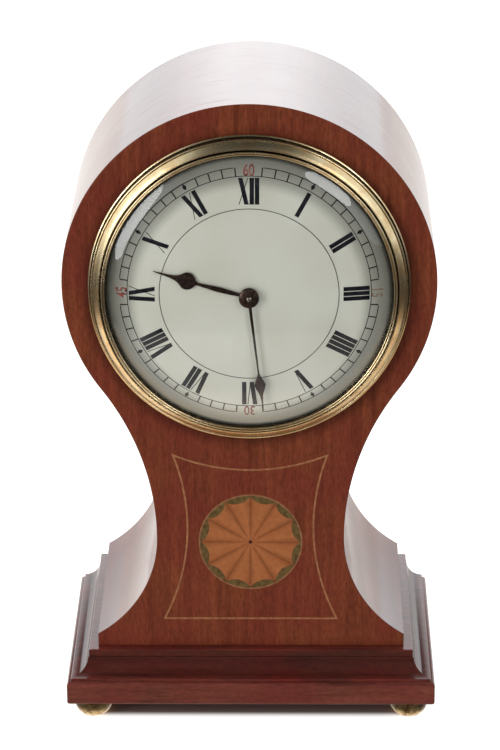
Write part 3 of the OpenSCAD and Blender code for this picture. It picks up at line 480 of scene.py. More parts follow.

# %% [markdown]
# ### Brass and steel
# The bezel is lacquered brass that was turned on a lathe, so very fine rings run round it and the lacquer has
# aged unevenly. Dirt lies in its grooves, and a painted shadow darkens the feet towards the slab. The hands
# are browned steel. Metals keep the default IOR.

# %% Metals
WAVE_PERIOD = 0.314
groove_steps = [(44.5, 0.15), (44.75, 1.0), (45.18, 1.0), (45.24, 0.1), (45.32, 0.1), (45.4, 1.0),
                (45.82, 1.0), (45.92, 0.05), (46.2, 0.05), (46.3, 1.0), (49.05, 1.0), (49.3, 0.1),
                (49.5, 0.1), (49.7, 1.0)]
# Share of lit metal on a foot by height in millimetres: painted shadow towards the slab.
foot_shadow_steps = [(0.0, 1.0), (1.4, 0.95), (2.4, 0.5), (3.2, 0.14), (4.2, 0.06), (6.5, 0.05)]


def groove_clean(add, where):
    """Share of clean metal across the bezel, by radius."""
    return follow(add, dial_radius(add, where), groove_steps)


def foot_painted_shadow(add, where):
    """Painted shadow under the slab: the share of lit metal on a foot, by height."""
    spot = add("SeparateXYZ", {}, {0: where})
    return follow(add, spot.outputs["Z"], foot_shadow_steps)


def metal(add, where, bright, dull, rough, spots, rings=0.0, clean=None):
    """A metal whose skin varies in patches, with turning rings, and dark where the share is low: dirt in
    grooves, painted shadow on the feet.
    """
    patch = patches(add, where, spots, 5.0, 0.6)
    tone = add("ValToRGB", {"stops": [(0.35, dull), (0.62, bright)]}, {0: patch})
    gloss = add("MapRange", {3: rough + 0.07, 4: rough - 0.05}, {0: patch})
    links = {"Base Color": tone, "Roughness": gloss}
    if rings:
        centred = add("Mapping", {"Location": (0, 0, -dial_z * MM)}, {0: where})
        lathe = {"wave_type": "RINGS", "rings_direction": "Y", "Scale": WAVE_PERIOD / (rings * MM),
                 "Distortion": 0.6, "Detail": 1.0}
        ring = add("TexWave", lathe, {0: centred})
        links["Normal"] = add("Bump", {"Strength": 0.05, "Distance": 0.02 * MM},
                              {"Height": ring.outputs["Fac"]})
    # Dark where the share is low: dirt in the bezel's grooves, or painted shadow on the feet.
    if clean:
        links["Base Color"] = add("Mix", BLEND | {MIX_A: "#1E1710"}, {0: clean(add, where), MIX_B: tone})
    return add("BsdfPrincipled", {"Metallic": 1.0}, links)


bezel_brass = material("turned_brass", metal, "#E6D2AA", "#CFB285", 0.27, 5.0, rings=0.5, clean=groove_clean)
rim_brass = material("tarnished_brass", metal, "#5A4A34", "#3A2F22", 0.4, 4.0)
foot_brass = material("cast_brass", metal, "#F3DDAA", "#6E5228", 0.27, 1.6, clean=foot_painted_shadow)
plate_brass = material("clock_brass", metal, "#D2AE68", "#C29C58", 0.28, 15.0)
back_brass = material("lacquered_sheet_brass", metal, "#C9A45E", "#BB9655", 0.3, 15.0, rings=0.9)
steel = material("polished_steel", metal, "#B8B8BC", "#A6A6AB", 0.25, 8.0)
blued_steel = material("blued_steel", metal, "#3A4468", "#252B45", 0.3, 2.0)
browned_steel = material("browned_steel", metal, "#4A3B36", "#261C19", 0.42, 1.0)
bright_steel = material("bright_pin_steel", metal, "#8A8580", "#5A5551", 0.2, 1.5)
print("Metals ready")

# %% [markdown]
# ### Enamel, ink and glass
# The dial is vitreous enamel: glassy, off-white and with a few tiny pits. Shade is painted at its rim, where
# the bezel and the thick edge of the glass keep the light away. The glass is clear, and lets the lamps' light
# through to the dial by a Transparent shader on shadow and diffuse rays, because a refracting shader alone
# would leave the dial dark.

# %% Enamel, printing and glass
# Painted shade on the dial by radius in millimetres: a broad fall towards the rim, then a dark painted shadow
# ring inside the bezel.
rim_shade = [(35.5, 1.0), (37, 0.84), (38, 0.67), (39, 0.57), (40, 0.5), (41, 0.45), (42.5, 0.39), (45, 0.3)]
rim_painted_shadow = [(42.6, 1.0), (43.3, 0.5), (43.8, 0.15), (45, 0.08)]


def enamel_white(add, where):
    """Off-white vitreous enamel with a soft unevenness, a few dark pits about 0.25 mm wide, and painted shade
    at its rim.
    """
    cloud = patches(add, where, 22, 3.0)
    tone = add("ValToRGB", {"stops": [(0.35, "#C5C5BB"), (0.65, "#CFD0C8")]}, {0: cloud})
    cells = add("TexVoronoi", {"Scale": 1 / (2.6 * MM)}, {0: where})
    dot = add("ValToRGB", {"stops": [(0.03, 1.0), (0.075, 0.0)]}, {0: cells})
    lot = add("SeparateColor", {}, {0: cells.outputs["Color"]})
    few = add("Math", {"operation": "LESS_THAN", 1: 0.3}, {0: lot})
    pits = add("Math", TIMES, {0: dot, 1: few})
    share = add("Math", TIMES | {1: 0.45}, {0: pits})
    colour = add("Mix", BLEND | {MIX_B: "#6E6A5C"}, {0: share, MIX_A: tone})
    # Painted shade and painted shadow darken the enamel towards its rim.
    for drop, widen, steps in ((2.2, 1.04, rim_shade), (0.6, 1.0, rim_painted_shadow)):
        shade = follow(add, dial_radius(add, where, drop, widen), steps)
        colour = add("Mix", DARKEN, {MIX_A: colour, MIX_B: shade})
    ripple = add("Bump", {"Strength": 0.03, "Distance": 0.3 * MM}, {"Height": cloud})
    return add("BsdfPrincipled", {"Roughness": 0.22, "IOR": 1.5, "Specular IOR Level": 0.3},
               {"Base Color": colour, "Normal": ripple})


def fired_ink(add, where, dark, light, faded=0.0):
    """Printing fired into the enamel, uneven over about 2 mm, and faded towards the right of the dial."""
    wear = patches(add, where, 2.0, 3.0)
    tone = add("ValToRGB", {"stops": [(0.4, dark), (0.75, light)]}, {0: wear})
    spot = add("SeparateXYZ", {}, {0: where})
    rubbed = add("MapRange", {1: 20 * MM, 2: 34 * MM, 4: faded}, {0: spot.outputs["X"]})
    worn = add("Mix", BLEND | {MIX_B: "#857C6C"}, {0: rubbed, MIX_A: tone})
    return add("BsdfPrincipled", {"Roughness": 0.5, "IOR": 1.5, "Specular IOR Level": 0.05},
               {"Base Color": worn})


def clear_glass(add, where):
    """Clear crown glass with a faint unevenness of the surface. Lamps shine through it to the dial."""
    ripple = add("Bump", {"Strength": 0.02, "Distance": 0.2 * MM}, {"Height": patches(add, where, 14, 1.0)})
    pane = add("BsdfPrincipled",
               {"Base Color": "#FEFEFC", "Roughness": 0.0, "IOR": 1.5, "Transmission Weight": 1.0},
               {"Normal": ripple})
    open_way = add("BsdfTransparent", {"Color": "#FAFAF8"})
    path = add("LightPath")
    passing = add("Math", LARGER, {0: path.outputs["Is Shadow Ray"], 1: path.outputs["Is Diffuse Ray"]})
    return add("MixShader", {}, {0: passing, 1: pane, 2: open_way})


enamel = material("vitreous_enamel", enamel_white)
black_ink = material("fired_black_ink", fired_ink, "#14141A", "#26262D")
line_ink = material("fired_line_ink", fired_ink, "#101013", "#29282B")
red_ink = material("fired_red_ink", fired_ink, "#7F3E39", "#A06E66", faded=0.75)
glass = material("clear_glass", clear_glass)
print("Enamel, inks and glass ready")

# %% [markdown]
# ## Dressing a piece
# A new piece gets its material, rides on a body of the clock and says which CAD solids it stands for.

# %% Helper that finishes a piece


def dress(piece, material, slot, body, *stands_for):
    """Gives a new piece its finish and its place in the clock."""
    piece.data.materials.clear()
    piece.data.materials.append(material)
    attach(piece, body)
    if stands_for:
        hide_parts(*stands_for)
    print(piece.name, len(piece.data.polygons), "faces")


# %% [markdown]
# ## Case boards
# The case is a round head that flows through a waist into a flared foot. Its outline is three arcs a side,
# the head, the neck that touches it and the flare, and a short upright at the foot. It could be cut from
# cylinders with Booleans, but tangent cylinders meet badly, so the outline is worked out and drawn.

# %% Outline of the case
waist_half = 29.9
waist_z = 61.4
flare_r = 39.5
neck_r = (waist_half ** 2 + (drum_z - waist_z) ** 2 - drum_r ** 2) / (2 * (drum_r - waist_half))
neck_turn = math.degrees(math.asin((drum_z - waist_z) / (drum_r + neck_r)))


def case_outline(inset=0.0):
    """The outline from the right foot over the head to the left foot, or the same set in."""
    flare = flare_r + inset
    flare_x = waist_half + flare_r
    foot_x = foot_half - inset
    foot_turn = math.degrees(math.acos((flare_x - foot_x) / flare))
    right = [(foot_x, body_z)]
    right += arc((flare_x, waist_z), flare, 180 + foot_turn, 180, 28)
    right += arc((waist_half + neck_r, waist_z), neck_r + inset, 180, 180 - neck_turn, 40)[1:]
    right += arc((0, drum_z), drum_r - inset, -neck_turn, 90, 96)[1:]
    return right + [(-x, z) for x, z in reversed(right[:-1])]


print("Neck arc", round(neck_r, 2), "mm, outline", len(case_outline()), "points")

# %% [markdown]
# The stringing is a frame of four lines. Inset makes it from the filled field in one step, at an even
# width round the corners. The same frame, made a little deeper, cuts its groove in the front board.

# %% Stringing
string_top_r = 61
string_top_x = 24.95
string_top = (string_top_x, dial_z - math.sqrt(string_top_r ** 2 - string_top_x ** 2))
string_waist = (20.65, 59.4)
string_foot = (28.2, 32.6)
string_w = 0.6


def circle_through(a, b, c):
    """Centre and radius of the circle through three points."""
    ab, ac = Vector(b) - Vector(a), Vector(c) - Vector(a)
    cross = 2 * (ab.x * ac.y - ab.y * ac.x)
    centre = Vector(((ac.y * ab.length_squared - ab.y * ac.length_squared) / cross,
                     (ab.x * ac.length_squared - ac.x * ab.length_squared) / cross)) + Vector(a)
    return centre, (centre - Vector(a)).length


def string_frame(name, front, thick):
    """The frame of stringing, as a flat ring made thick towards the back."""
    centre, side_r = circle_through(string_top, string_waist, string_foot)
    lean = [math.degrees(math.atan2(z - centre.y, x - centre.x)) % 360 for x, z in (string_foot, string_top)]
    right = arc(centre, side_r, lean[0], lean[1], 48)
    half_turn = math.degrees(math.asin(string_top_x / string_top_r))
    top = arc((0, dial_z), string_top_r, 270 + half_turn, 270 - half_turn, 32)
    left = [(-x, z) for x, z in reversed(right)]
    piece = draw_line(name, [place(x, front, z) for x, z in right + top[1:-1] + left])
    bpy.ops.mesh.edge_face_add()
    bpy.ops.mesh.inset(thickness=string_w * MM, use_even_offset=True)
    bpy.ops.mesh.delete(type="FACE")
    bpy.ops.mesh.select_all(action="SELECT")
    thicken(thick)
    return close_mesh(piece)


dress(string_frame("stringing_line", 0, inlay_t), boxwood, "boxwood", "case", "stringing")

# %% [markdown]
# The front board is filled, made 6 mm thick and broken along its front edge. Then Booleans cut the bore for
# the clockwork, the groove for the stringing and the round recess for the fan. The back board has the same
# outline and bore. The edges of both are polished like the sides.

# %% Front and back boards
patera_r = 16.6
cut_over = 1
UPRIGHT = (math.radians(90), 0, 0)


def turned_cutter(r, front, back, z):
    """A round cutter along the depth."""
    return begin("round_cutter", bpy.ops.mesh.primitive_cylinder_add, vertices=192, radius=r * MM,
                 depth=(front - back) * MM, location=place(0, (front + back) / 2, z), rotation=UPRIGHT)


def polish_edges(piece):
    """Gives the faces that look sideways the polished wood of the sides."""
    piece.data.materials.append(side_wood)
    for face in piece.data.polygons:
        if abs(face.normal.y) < 0.3:
            face.material_index = 1


front_board = plate("front_board", case_outline(), 0, panel_t)
bevel_edges(front_board, 0.3, 3, at_depth(face_y))
cut_away(front_board, turned_cutter(bore_r, cut_over, -panel_t - cut_over, dial_z))
cut_away(front_board, turned_cutter(patera_r, cut_over, -inlay_t, patera_z))
cut_away(front_board, string_frame("groove_cutter", cut_over, cut_over + inlay_t))
dress(front_board, panel_wood, "mahogany", "case", "front_panel")
polish_edges(front_board)

back_front = panel_t - case_depth
back_board = plate("back_board", case_outline(), back_front, panel_t)
bevel_edges(back_board, 0.5, 3, at_depth(face_y + case_depth * MM))
cut_away(back_board, turned_cutter(bore_r, back_front + cut_over, -case_depth - cut_over, dial_z))
dress(back_board, inner_wood, "mahogany", "case", "back_panel")
polish_edges(back_board)

# %% [markdown]
# The side veneer is one sheet bent round the case between the two boards. Its section is a thin strip that
# follows the outline outside and the same outline set in by the veneer's thickness inside.

# %% Side veneer
strip = case_outline() + list(reversed(case_outline(veneer_t)))
side_sheet = plate("side_veneer_sheet", strip, -panel_t, case_depth - 2 * panel_t)
dress(side_sheet, side_wood, "mahogany", "case", "side_veneer")

# %% [markdown]
# ## Fan inlay
# The fan has twelve petals with hollow ends, green scallops between them and the line round it, and a dark
# eye. One petal and one scallop are drawn as outlines and copied round the centre.

# %% Fan petals, scallops, line and eye
petal_dip = 13.8
petal_end_r = 6.2
fan_line_r = 16.1
eye_r = 0.6
petal_half = 180 / petal_count
end_x = petal_dip + petal_end_r
along, aside = polar(end_x, petal_half)
tip_r = along - math.sqrt(petal_end_r ** 2 - aside ** 2)
tip_x, tip_y = polar(tip_r, petal_half)
tip_turn = math.degrees(math.atan2(tip_y, tip_x - end_x))
hollow = arc((end_x, 0), petal_end_r, tip_turn, 360 - tip_turn, 14)
petal_line = arc((0, 0), eye_r, -petal_half, petal_half, 4) + hollow
scallop_line = list(reversed(hollow)) + arc((0, 0), fan_line_r, petal_half, -petal_half, 10)


def round_fan(outline, name):
    """Twelve copies of an outline, made solid and set round the fan's centre."""
    one = plate(name, outline, 0, inlay_t)
    to_centre = Matrix.Translation((0, 0, patera_z * MM))
    turns = [(i + 0.5) * 2 * math.pi / petal_count for i in range(petal_count)]
    return copies(one, [to_centre @ Matrix.Rotation(a, 4, "Y") for a in turns], name)


def fan_ring(name, inner, outer):
    """A flat ring of inlay, spun about the fan's centre."""
    corners = [(inner, 0), (outer, 0), (outer, -inlay_t), (inner, -inlay_t), (inner, 0)]
    points = [place(r, front, patera_z) for r, front in corners]
    return spin_line(name, points, place(0, 0, patera_z), (0, 1, 0), 144)


dress(round_fan(petal_line, "fan_petals"), satinwood, "satinwood", "case", "patera_petals")
dress(round_fan(scallop_line, "fan_scallops"), green_wood, "stained_wood", "case", "patera_scallops")
dress(fan_ring("fan_line", fan_line_r, patera_r), fan_line_wood, "boxwood", "case", "patera_ring")
dress(fan_ring("fan_eye", 0, eye_r), eye_wood, "stained_wood", "case")

# %% [markdown]
# ## Plinth
# The slab is a block whose level edges are rounded everywhere but at the back, which stood against a wall.
# The cove moulding above it is drawn level by level: a plane is extruded upwards and scaled about the middle
# of its back edge, so front and sides step in together and the mitres come by themselves.

# %% Slab and cove moulding
at_back = at_depth(slab_high.y)
slab = begin("base_slab", bpy.ops.mesh.primitive_cube_add, size=1, location=(slab_low + slab_high) / 2,
             scale=slab_high - slab_low)
bpy.ops.object.transform_apply(location=True, rotation=False, scale=True)
bevel_edges(slab, 1.2, 5, lambda a, b: abs(a.z - b.z) < WELD and not at_back(a, b))
modify(slab, "BEVEL", width=0.15 * MM, segments=2, limit_method="ANGLE", angle_limit=math.radians(50))
bpy.ops.object.shade_smooth_by_angle(angle=SMOOTH)
dress(slab, slab_wood, "mahogany", "case", "plinth_slab")

cove_r = 5.3
fillet_h = 2.4
fillet_over = 2.9
quirk = 0.3
ease = 0.25
lip = 0.1
cove_z = body_z - fillet_h
cove_over = fillet_over + quirk + cove_r
slab_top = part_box("plinth_moulding")[0].z / MM
cove_foot = cove_z - cove_r
levels = [(cove_over + lip, slab_top), (cove_over + lip, cove_foot - ease), (cove_over - lip, cove_foot)]
levels += arc((cove_over, cove_z), cove_r, 270, 180, 14)[1:]
levels += [(fillet_over, cove_z), (fillet_over, body_z - ease), (fillet_over - ease, body_z)]
over, z = levels[0]
moulding = begin("cove_moulding", bpy.ops.mesh.primitive_plane_add, size=1)
bpy.ops.object.mode_set(mode="EDIT")
bpy.ops.transform.resize(value=(2 * (foot_half + over) * MM, (case_depth + over) * MM, 1))
bpy.ops.transform.translate(value=(0, face_y + (case_depth - over) / 2 * MM, z * MM))
for next_over, next_z in levels[1:]:
    bpy.ops.mesh.extrude_region_move(TRANSFORM_OT_translate={"value": (0, 0, (next_z - z) * MM)})
    shrink = ((foot_half + next_over) / (foot_half + over), (case_depth + next_over) / (case_depth + over), 1)
    bpy.ops.transform.resize(value=shrink, center_override=(0, slab_high.y, next_z * MM))
    over, z = next_over, next_z
close_mesh(moulding)
dress(moulding, cove_wood, "mahogany", "case", "plinth_moulding")

# %% [markdown]
# ## Feet
# Four small brass buns are turned from one profile: a flat seat, a full belly and a neck under the slab.

# %% Turned feet
foot_h = 6.5
belly_r = 4.9
belly_x, belly_z = 1.2, 4.4
belly = arc((belly_x, belly_z), belly_r, -math.degrees(math.asin(belly_z / belly_r)), 22, 22)
foot_line = [(0, 0), (belly[0][0] - 0.3, 0)] + [(r, max(h, 0.0)) for r, h in belly[1:]]
foot_line += [(foot_line[-1][0] - 0.15, foot_h), (0, foot_h)]
for node in ("front_left_foot", "front_right_foot", "rear_left_foot", "rear_right_foot"):
    low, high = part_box(node)
    centre = (low + high) / 2
    centre.z = 0
    points = [centre + Vector((r * MM, 0, h * MM)) for r, h in foot_line]
    bun = spin_line(node.replace("foot", "bun"), points, centre, (0, 0, 1), 64)
    dress(bun, foot_brass, "brass", "case", node)

# %% [markdown]
# ## Bezel and glass
# The bezel is turned in two rings. The mount has a beaded foot on the case and a sleeve in the bore. The
# front ring has a full round band, a quirk and a thin bead at the sight edge, and holds the convex glass.
# Each profile runs once round the ring's section, as pairs of radius and distance in front of the case.

# %% Bezel rings
bead_r = 0.6
seat = 2 * bead_r
sleeve_in, sleeve_out, foot_out, ledge_in = 45.6, 46.7, 49.5, 42.5
mount_line = [(sleeve_in, seat), (foot_out, seat)] + arc((foot_out, bead_r), bead_r, 80, -80, 10)
mount_line += [(foot_out, 0), (sleeve_out, 0), (sleeve_out, -panel_t), (sleeve_in, -panel_t), (sleeve_in, -2)]
mount_line += [(ledge_in, -2), (ledge_in, -0.7), (sleeve_in, -0.7), (sleeve_in, seat)]
dress(turn("bezel_foot_ring", mount_line), bezel_brass, "brass", "case", "bezel_mount")

edge_bead = arc((48.85, 2.75), 0.38, -20, 110, 8)
band = [(48.58, 3.0), (48.5, 3.12), (48.1, 3.58), (47.65, 4.04), (47.2, 4.42), (46.9, 4.62), (46.84, 4.66)]
quirk_bead = arc((46.54, 4.72), 0.29, 10, 175, 8)
outer_bead = arc((45.6, 5.35), 0.28, -10, 170, 8)
sight_bead = arc((44.99, 5.2), 0.27, 10, 190, 8)
bezel_line = [(46.05, seat), (49.25, seat)] + edge_bead + band + quirk_bead
bezel_line += [(46.22, 4.3), (46.22, 3.9), (45.92, 3.9), (45.92, 5.2)] + outer_bead
bezel_line += [(45.31, 5.1), (45.27, 4.95)] + sight_bead
bezel_line += [(44.8, 5.0), (sleeve_in, 4.85), (sleeve_in, seat), (46.05, seat)]
dress(turn("bezel_front_ring", bezel_line), bezel_brass, "brass", "case", "front_bezel")

# %% [markdown]
# Glass and dial are both shallow domes. A dome's section is two arcs about one centre behind the clock. The
# glass falls away in a bevel near its edge, which catches the lamps.

# %% Glass and dial
glass_inner = 150.7
glass_t = 1.6
glass_r = 45.9
glass_rise = 10.2
dial_dome = 188
dial_t = 1.2
dial_r = 45
dial_rise = 7.05
dial_hole = 2.6
dial_back = 0.5
rim = 0.3


def dome(r, radius, rise):
    """How far a dome stands in front of the case at a radius."""
    return rise - radius + math.sqrt(radius ** 2 - r ** 2)


def dome_line(start, end, radius, rise, count):
    """Points of a dome's section between two radii."""
    steps = [start + (end - start) * i / count for i in range(count + 1)]
    return [(r, dome(r, radius, rise)) for r in steps]


bevel_r = 41.0
bevel_slope = 0.44
bevel_round = 0.03
bevel_ease = 0.12
glass_outer = (glass_inner + glass_t, glass_rise + glass_t)
bevel_top = dome(bevel_r, *glass_outer)
bevel = [(r, bevel_top - bevel_slope * (r - bevel_r) - bevel_round * (r - bevel_r) ** 2)
         for r in (bevel_r + bevel_ease, 42, 42.7, 43.4, 44.1, 44.8, 45.4, 45.55)]
crystal_line = dome_line(0, bevel_r - bevel_ease, *glass_outer, 40) + bevel
crystal_line += dome_line(glass_r, 0, glass_inner, glass_rise, 40)
dress(turn("convex_glass", crystal_line, steps=160), glass, "glass", "case", "glass")

inside = math.sqrt((dial_dome - dial_t) ** 2 - (dial_dome - dial_rise + dial_back) ** 2)
dial_line = dome_line(dial_hole + rim, dial_r - rim, dial_dome, dial_rise, 40)
dial_line += [(dial_r, dome(dial_r, dial_dome, dial_rise) - rim), (dial_r, dial_back), (inside, dial_back)]
dial_line += dome_line(inside, dial_hole, dial_dome - dial_t, dial_rise - dial_t, 30)[1:]
dial_line += [(dial_hole, dome(dial_hole, dial_dome, dial_rise) - rim), dial_line[0]]
dial_face = turn("enamel_dial", dial_line, steps=160)
dress(dial_face, enamel, "enamel", "case", "dial")

# %% [markdown]
# ## Dial printing
# The printing follows the dome. Strokes are planes whose top edge is moved sideways for a lean, and each
# letter is made once and copied. Shrinkwrap lays the flat figures on the dial, and Extrude gives the ink
# its body. Ink is a few hundredths of a millimetre thick, so it is only just raised.

# %% Helpers for printing
INK = 0.03


def stroke(name, bars):
    """Flat strokes in one mesh. A bar is the x of its foot and head, its width, and the heights of both."""
    piece = begin(name, bpy.ops.mesh.primitive_plane_add, size=1)
    edit(piece)
    bpy.ops.mesh.delete(type="VERT")
    for foot_x, head_x, width, low, high in bars:
        middle = (low + high) / 2 * MM
        bpy.ops.mesh.primitive_plane_add(size=1, rotation=UPRIGHT)
        bpy.ops.transform.resize(value=(width * MM, 1, (high - low) * MM))
        bpy.ops.transform.translate(value=(foot_x * MM, 0, middle))
        bpy.ops.object.mode_set(mode="OBJECT")
        for corner in piece.data.vertices:
            corner.select = corner.select and corner.co.z > middle
        for side in list(piece.data.edges) + list(piece.data.polygons):
            side.select = False
        bpy.ops.object.mode_set(mode="EDIT")
        bpy.ops.mesh.select_mode(type="VERT")
        bpy.ops.transform.translate(value=((head_x - foot_x) * MM, 0, 0))
    bpy.ops.object.mode_set(mode="OBJECT")
    return piece


def lay_on_dial(piece, cuts=2):
    """Lays flat printing on the dome and gives it its thickness."""
    edit(piece)
    if cuts:
        bpy.ops.mesh.subdivide(number_cuts=cuts)
    bpy.ops.object.mode_set(mode="OBJECT")
    modify(piece, "SHRINKWRAP", target=dial_face, wrap_method="PROJECT", use_project_x=False,
           use_project_y=True, use_project_z=False, use_positive_direction=True, use_negative_direction=True)
    edit(piece)
    bpy.ops.transform.translate(value=(0, -INK * MM, 0))
    thicken(INK / 2)
    bpy.ops.mesh.select_all(action="SELECT")
    bpy.ops.mesh.normals_make_consistent(inside=False)
    bpy.ops.object.mode_set(mode="OBJECT")
    return piece


def on_dial(clock_turn, r, x=0.0):
    """Where flat printing drawn at the origin goes: out by a radius, then round the dial, clockwise."""
    centre = Matrix.Translation(place(0, dial_rise + 2, dial_z))
    turned = Matrix.Rotation(math.radians(clock_turn), 4, "Y")
    return centre @ turned @ Matrix.Translation((x * MM, 0, r * MM))


print("Printing helpers ready")

# %% [markdown]
# The hours are Roman numerals with heavy stems, hairlines and fine serifs, and all stand with their feet to
# the centre. A font could give them, but these are drawn bar by bar, so that stems and gaps are the dial's.

# %% Roman numerals
numeral_in = 29.0
numeral_h = 8.05
stem = 1.36
hair = 0.24
serif = 0.18
serif_w = 1.5
letter_w = {"I": 1.6, "V": 3.3, "X": 3.5}
letter_bars = {
    "I": [(0, 0, stem, 0, numeral_h), (0, 0, serif_w, 0, serif),
          (0, 0, serif_w, numeral_h - serif, numeral_h)],
    "V": [(0.1, -0.95, stem, 0, numeral_h), (0.5, 1.35, hair, 0, numeral_h)],
    "X": [(0.95, -0.95, stem, 0, numeral_h), (-1.35, 1.35, hair, 0, numeral_h)],
}
letters = {key: stroke("letter_" + key, bars) for key, bars in letter_bars.items()}
hours = ["XII", "I", "II", "III", "IIII", "V", "VI", "VII", "VIII", "IX", "X", "XI"]
spots = {key: [] for key in letters}
for hour, word in enumerate(hours):
    x = -sum(letter_w[key] for key in word) / 2
    for key in word:
        spots[key].append(on_dial(hour * 30, numeral_in, x + letter_w[key] / 2))
        x += letter_w[key]
numerals = join([copies(letters[key], spots[key], "numerals_" + key) for key in letters], "hour_numerals")
dress(lay_on_dial(numerals), black_ink, "enamel", "case")

# %% [markdown]
# The minute track is two fine circles with a stroke at each minute, a small lozenge at the fives, and red
# figures at the quarters, where the outer circle stops. Circles are spun straight onto the dome.

# %% Minute track and chapter circle
chapter_r = 27.65
track_in = 37.6
track_out = 40.05
line_w = 0.23
tick_w = 0.38
quarter_gap = 6.5
lozenge_w = 0.75
lozenge_r = 38.75


def dial_circle(name, r, starts, sweep, steps):
    """Arcs of a fine line round the dial, each from a start, with their ends filled."""
    corners = [(-1, 0), (1, 0), (1, INK), (-1, INK), (-1, 0)]
    section = [(r + way * line_w / 2, dome(r, dial_dome, dial_rise) + up) for way, up in corners]
    arcs = []
    for start in starts:
        one = turn(name, section, steps=steps, sweep=sweep)
        if sweep < 360:
            edit(one)
            bpy.ops.mesh.select_all(action="DESELECT")
            bpy.ops.mesh.select_non_manifold()
            bpy.ops.mesh.edge_face_add()
            bpy.ops.object.mode_set(mode="OBJECT")
        settle(one, about_dial(start))
        arcs.append(one)
    return join(arcs, name)


circles = [dial_circle("chapter_circle", chapter_r, [0], 360, 240)]
circles.append(dial_circle("track_inner", track_in, [0], 360, 300))
quarters = [q - quarter_gap for q in (0, 90, 180, 270)]
circles.append(dial_circle("track_outer", track_out, quarters, 90 - 2 * quarter_gap, 80))
tick = stroke("minute_tick", [(0, 0, tick_w, 0, track_out - track_in)])
minutes = [on_dial(m * 6, track_in) for m in range(60) if m % 5]
ticks = lay_on_dial(copies(tick, minutes, "minute_ticks"))
lozenge = stroke("five_mark", [(0, 0, lozenge_w, 0, lozenge_w)])
edit(lozenge)
lozenge_middle = (0, 0, lozenge_w / 2 * MM)
bpy.ops.transform.rotate(value=math.radians(45), orient_axis="Y", center_override=lozenge_middle)
bpy.ops.transform.resize(value=(1.25, 1, 2.1), center_override=lozenge_middle)
bpy.ops.object.mode_set(mode="OBJECT")
fives = [on_dial(m * 6, lozenge_r) for m in range(0, 60, 5) if m % 15]
lozenges = lay_on_dial(copies(lozenge, fives, "five_marks"))
dress(join(circles + [ticks], "minute_track"), line_ink, "enamel", "case")
dress(lozenges, black_ink, "enamel", "case")

# %% [markdown]
# The quarter figures are text. Text is made a mesh before its place is applied, then laid on the dome.

# %% Red quarter figures
figure_h = 4.5
figure_r = (track_in + track_out) / 2 + 0.3
figures = []
for word, clock_turn in (("60", 0), ("15", 90), ("30", 180), ("45", 270)):
    figure = begin("figure_" + word, bpy.ops.object.text_add, rotation=UPRIGHT)
    figure.data.body = word
    figure.data.size = figure_h * MM
    figure.data.offset = 0.05 * MM
    figure.data.align_x = "CENTER"
    figure.data.align_y = "CENTER"
    figure.scale = (0.8, 1, 1)
    bpy.ops.object.convert(target="MESH")
    figure = bpy.context.object
    bpy.ops.object.transform_apply(location=False, rotation=True, scale=True)
    settle(figure, on_dial(clock_turn, figure_r))
    figures.append(figure)
dress(lay_on_dial(join(figures, "quarter_figures"), cuts=0), red_ink, "enamel", "case")

# %% [markdown]
# ## Hands
# Each hand is a thin strip of steel with a low ridge along its middle. It starts as a short line across the
# hand, which is extruded outwards and scaled to the width at each station. The hands bend to the dial's
# dome, as the real ones are set to clear it and the glass. Their bosses are turned.

# %% Hands
hand_t = 0.4
ridge = 0.12
hub_edge = 0.1


def hand_front(d, clear):
    """How far a hand's face stands in front of the case, at a distance from its centre."""
    return dome(d, dial_dome + clear + hand_t, dial_rise + clear + hand_t)


def hand(name, stations, clear, clock_turn, eye):
    """A hand from distances and half widths, turned to its place, with a round eye of two radii."""
    reach, half_w = stations[0]
    line = [(-half_w, hand_front(reach, clear) - ridge), (0, hand_front(reach, clear)),
            (half_w, hand_front(reach, clear) - ridge)]
    blade = draw_line(name, [place(x, front, dial_z + reach) for x, front in line])
    for (d, w), (next_d, next_w) in zip(stations, stations[1:]):
        fall = hand_front(d, clear) - hand_front(next_d, clear)
        bpy.ops.mesh.extrude_edges_move(TRANSFORM_OT_translate={"value": (0, fall * MM, (next_d - d) * MM)})
        middle = place(0, hand_front(next_d, clear), dial_z + next_d)
        bpy.ops.transform.resize(value=(next_w / w, 1, 1), center_override=middle)
    bpy.ops.mesh.select_all(action="SELECT")
    thicken(hand_t - ridge)
    settle(close_mesh(blade), about_dial(clock_turn))
    inner, outer = eye
    front = hand_front(0, clear)
    section = [(inner, front), (outer - hub_edge, front), (outer, front - hub_edge), (outer, front - hand_t),
               (inner, front - hand_t), (inner, front)]
    return join([blade, turn(name + "_eye", section, steps=72)], name)


hour_clear, minute_clear = 0.45, 1.35
hour_turn, minute_turn = 284.5, 173.6
spade_at, spade_r = 19.7, 2.75
hour_stations = [(2.4, 0.48), (6, 0.7), (10, 0.82), (13.5, 0.6), (16.4, 0.42)]
hour_stations += arc((spade_at, 0), spade_r, 180 - 18, 180 - 114, 8)
hour_stations += [(21.6, 1.8), (22.4, 1.2), (23.4, 0.78), (24.9, 0.5), (26.8, 0.32), (28.6, 0.2),
                  (30.4, 0.05)]
hour_hand = hand("hour_hand_steel", hour_stations, hour_clear, hour_turn, (1.75, 3.0))
dress(hour_hand, browned_steel, "blued_steel", "hour_set", "hour_hand")

minute_stations = [(1.9, 0.5), (8, 0.43), (16, 0.34), (23, 0.26), (25.6, 0.26), (26.8, 0.6), (28.2, 1.25)]
minute_stations += [(29.6, 1.78), (30.9, 1.4), (32.2, 0.85), (33.6, 0.42), (36, 0.22), (39.2, 0.05)]
minute_hand = hand("minute_hand_steel", minute_stations, minute_clear, minute_turn, (1.2, 2.3))
dress(minute_hand, browned_steel, "blued_steel", "minute_set", "minute_hand")

# %% [markdown]
# The collet is a domed washer over the hands, and the end of the arbor shows in it as a bright pin.

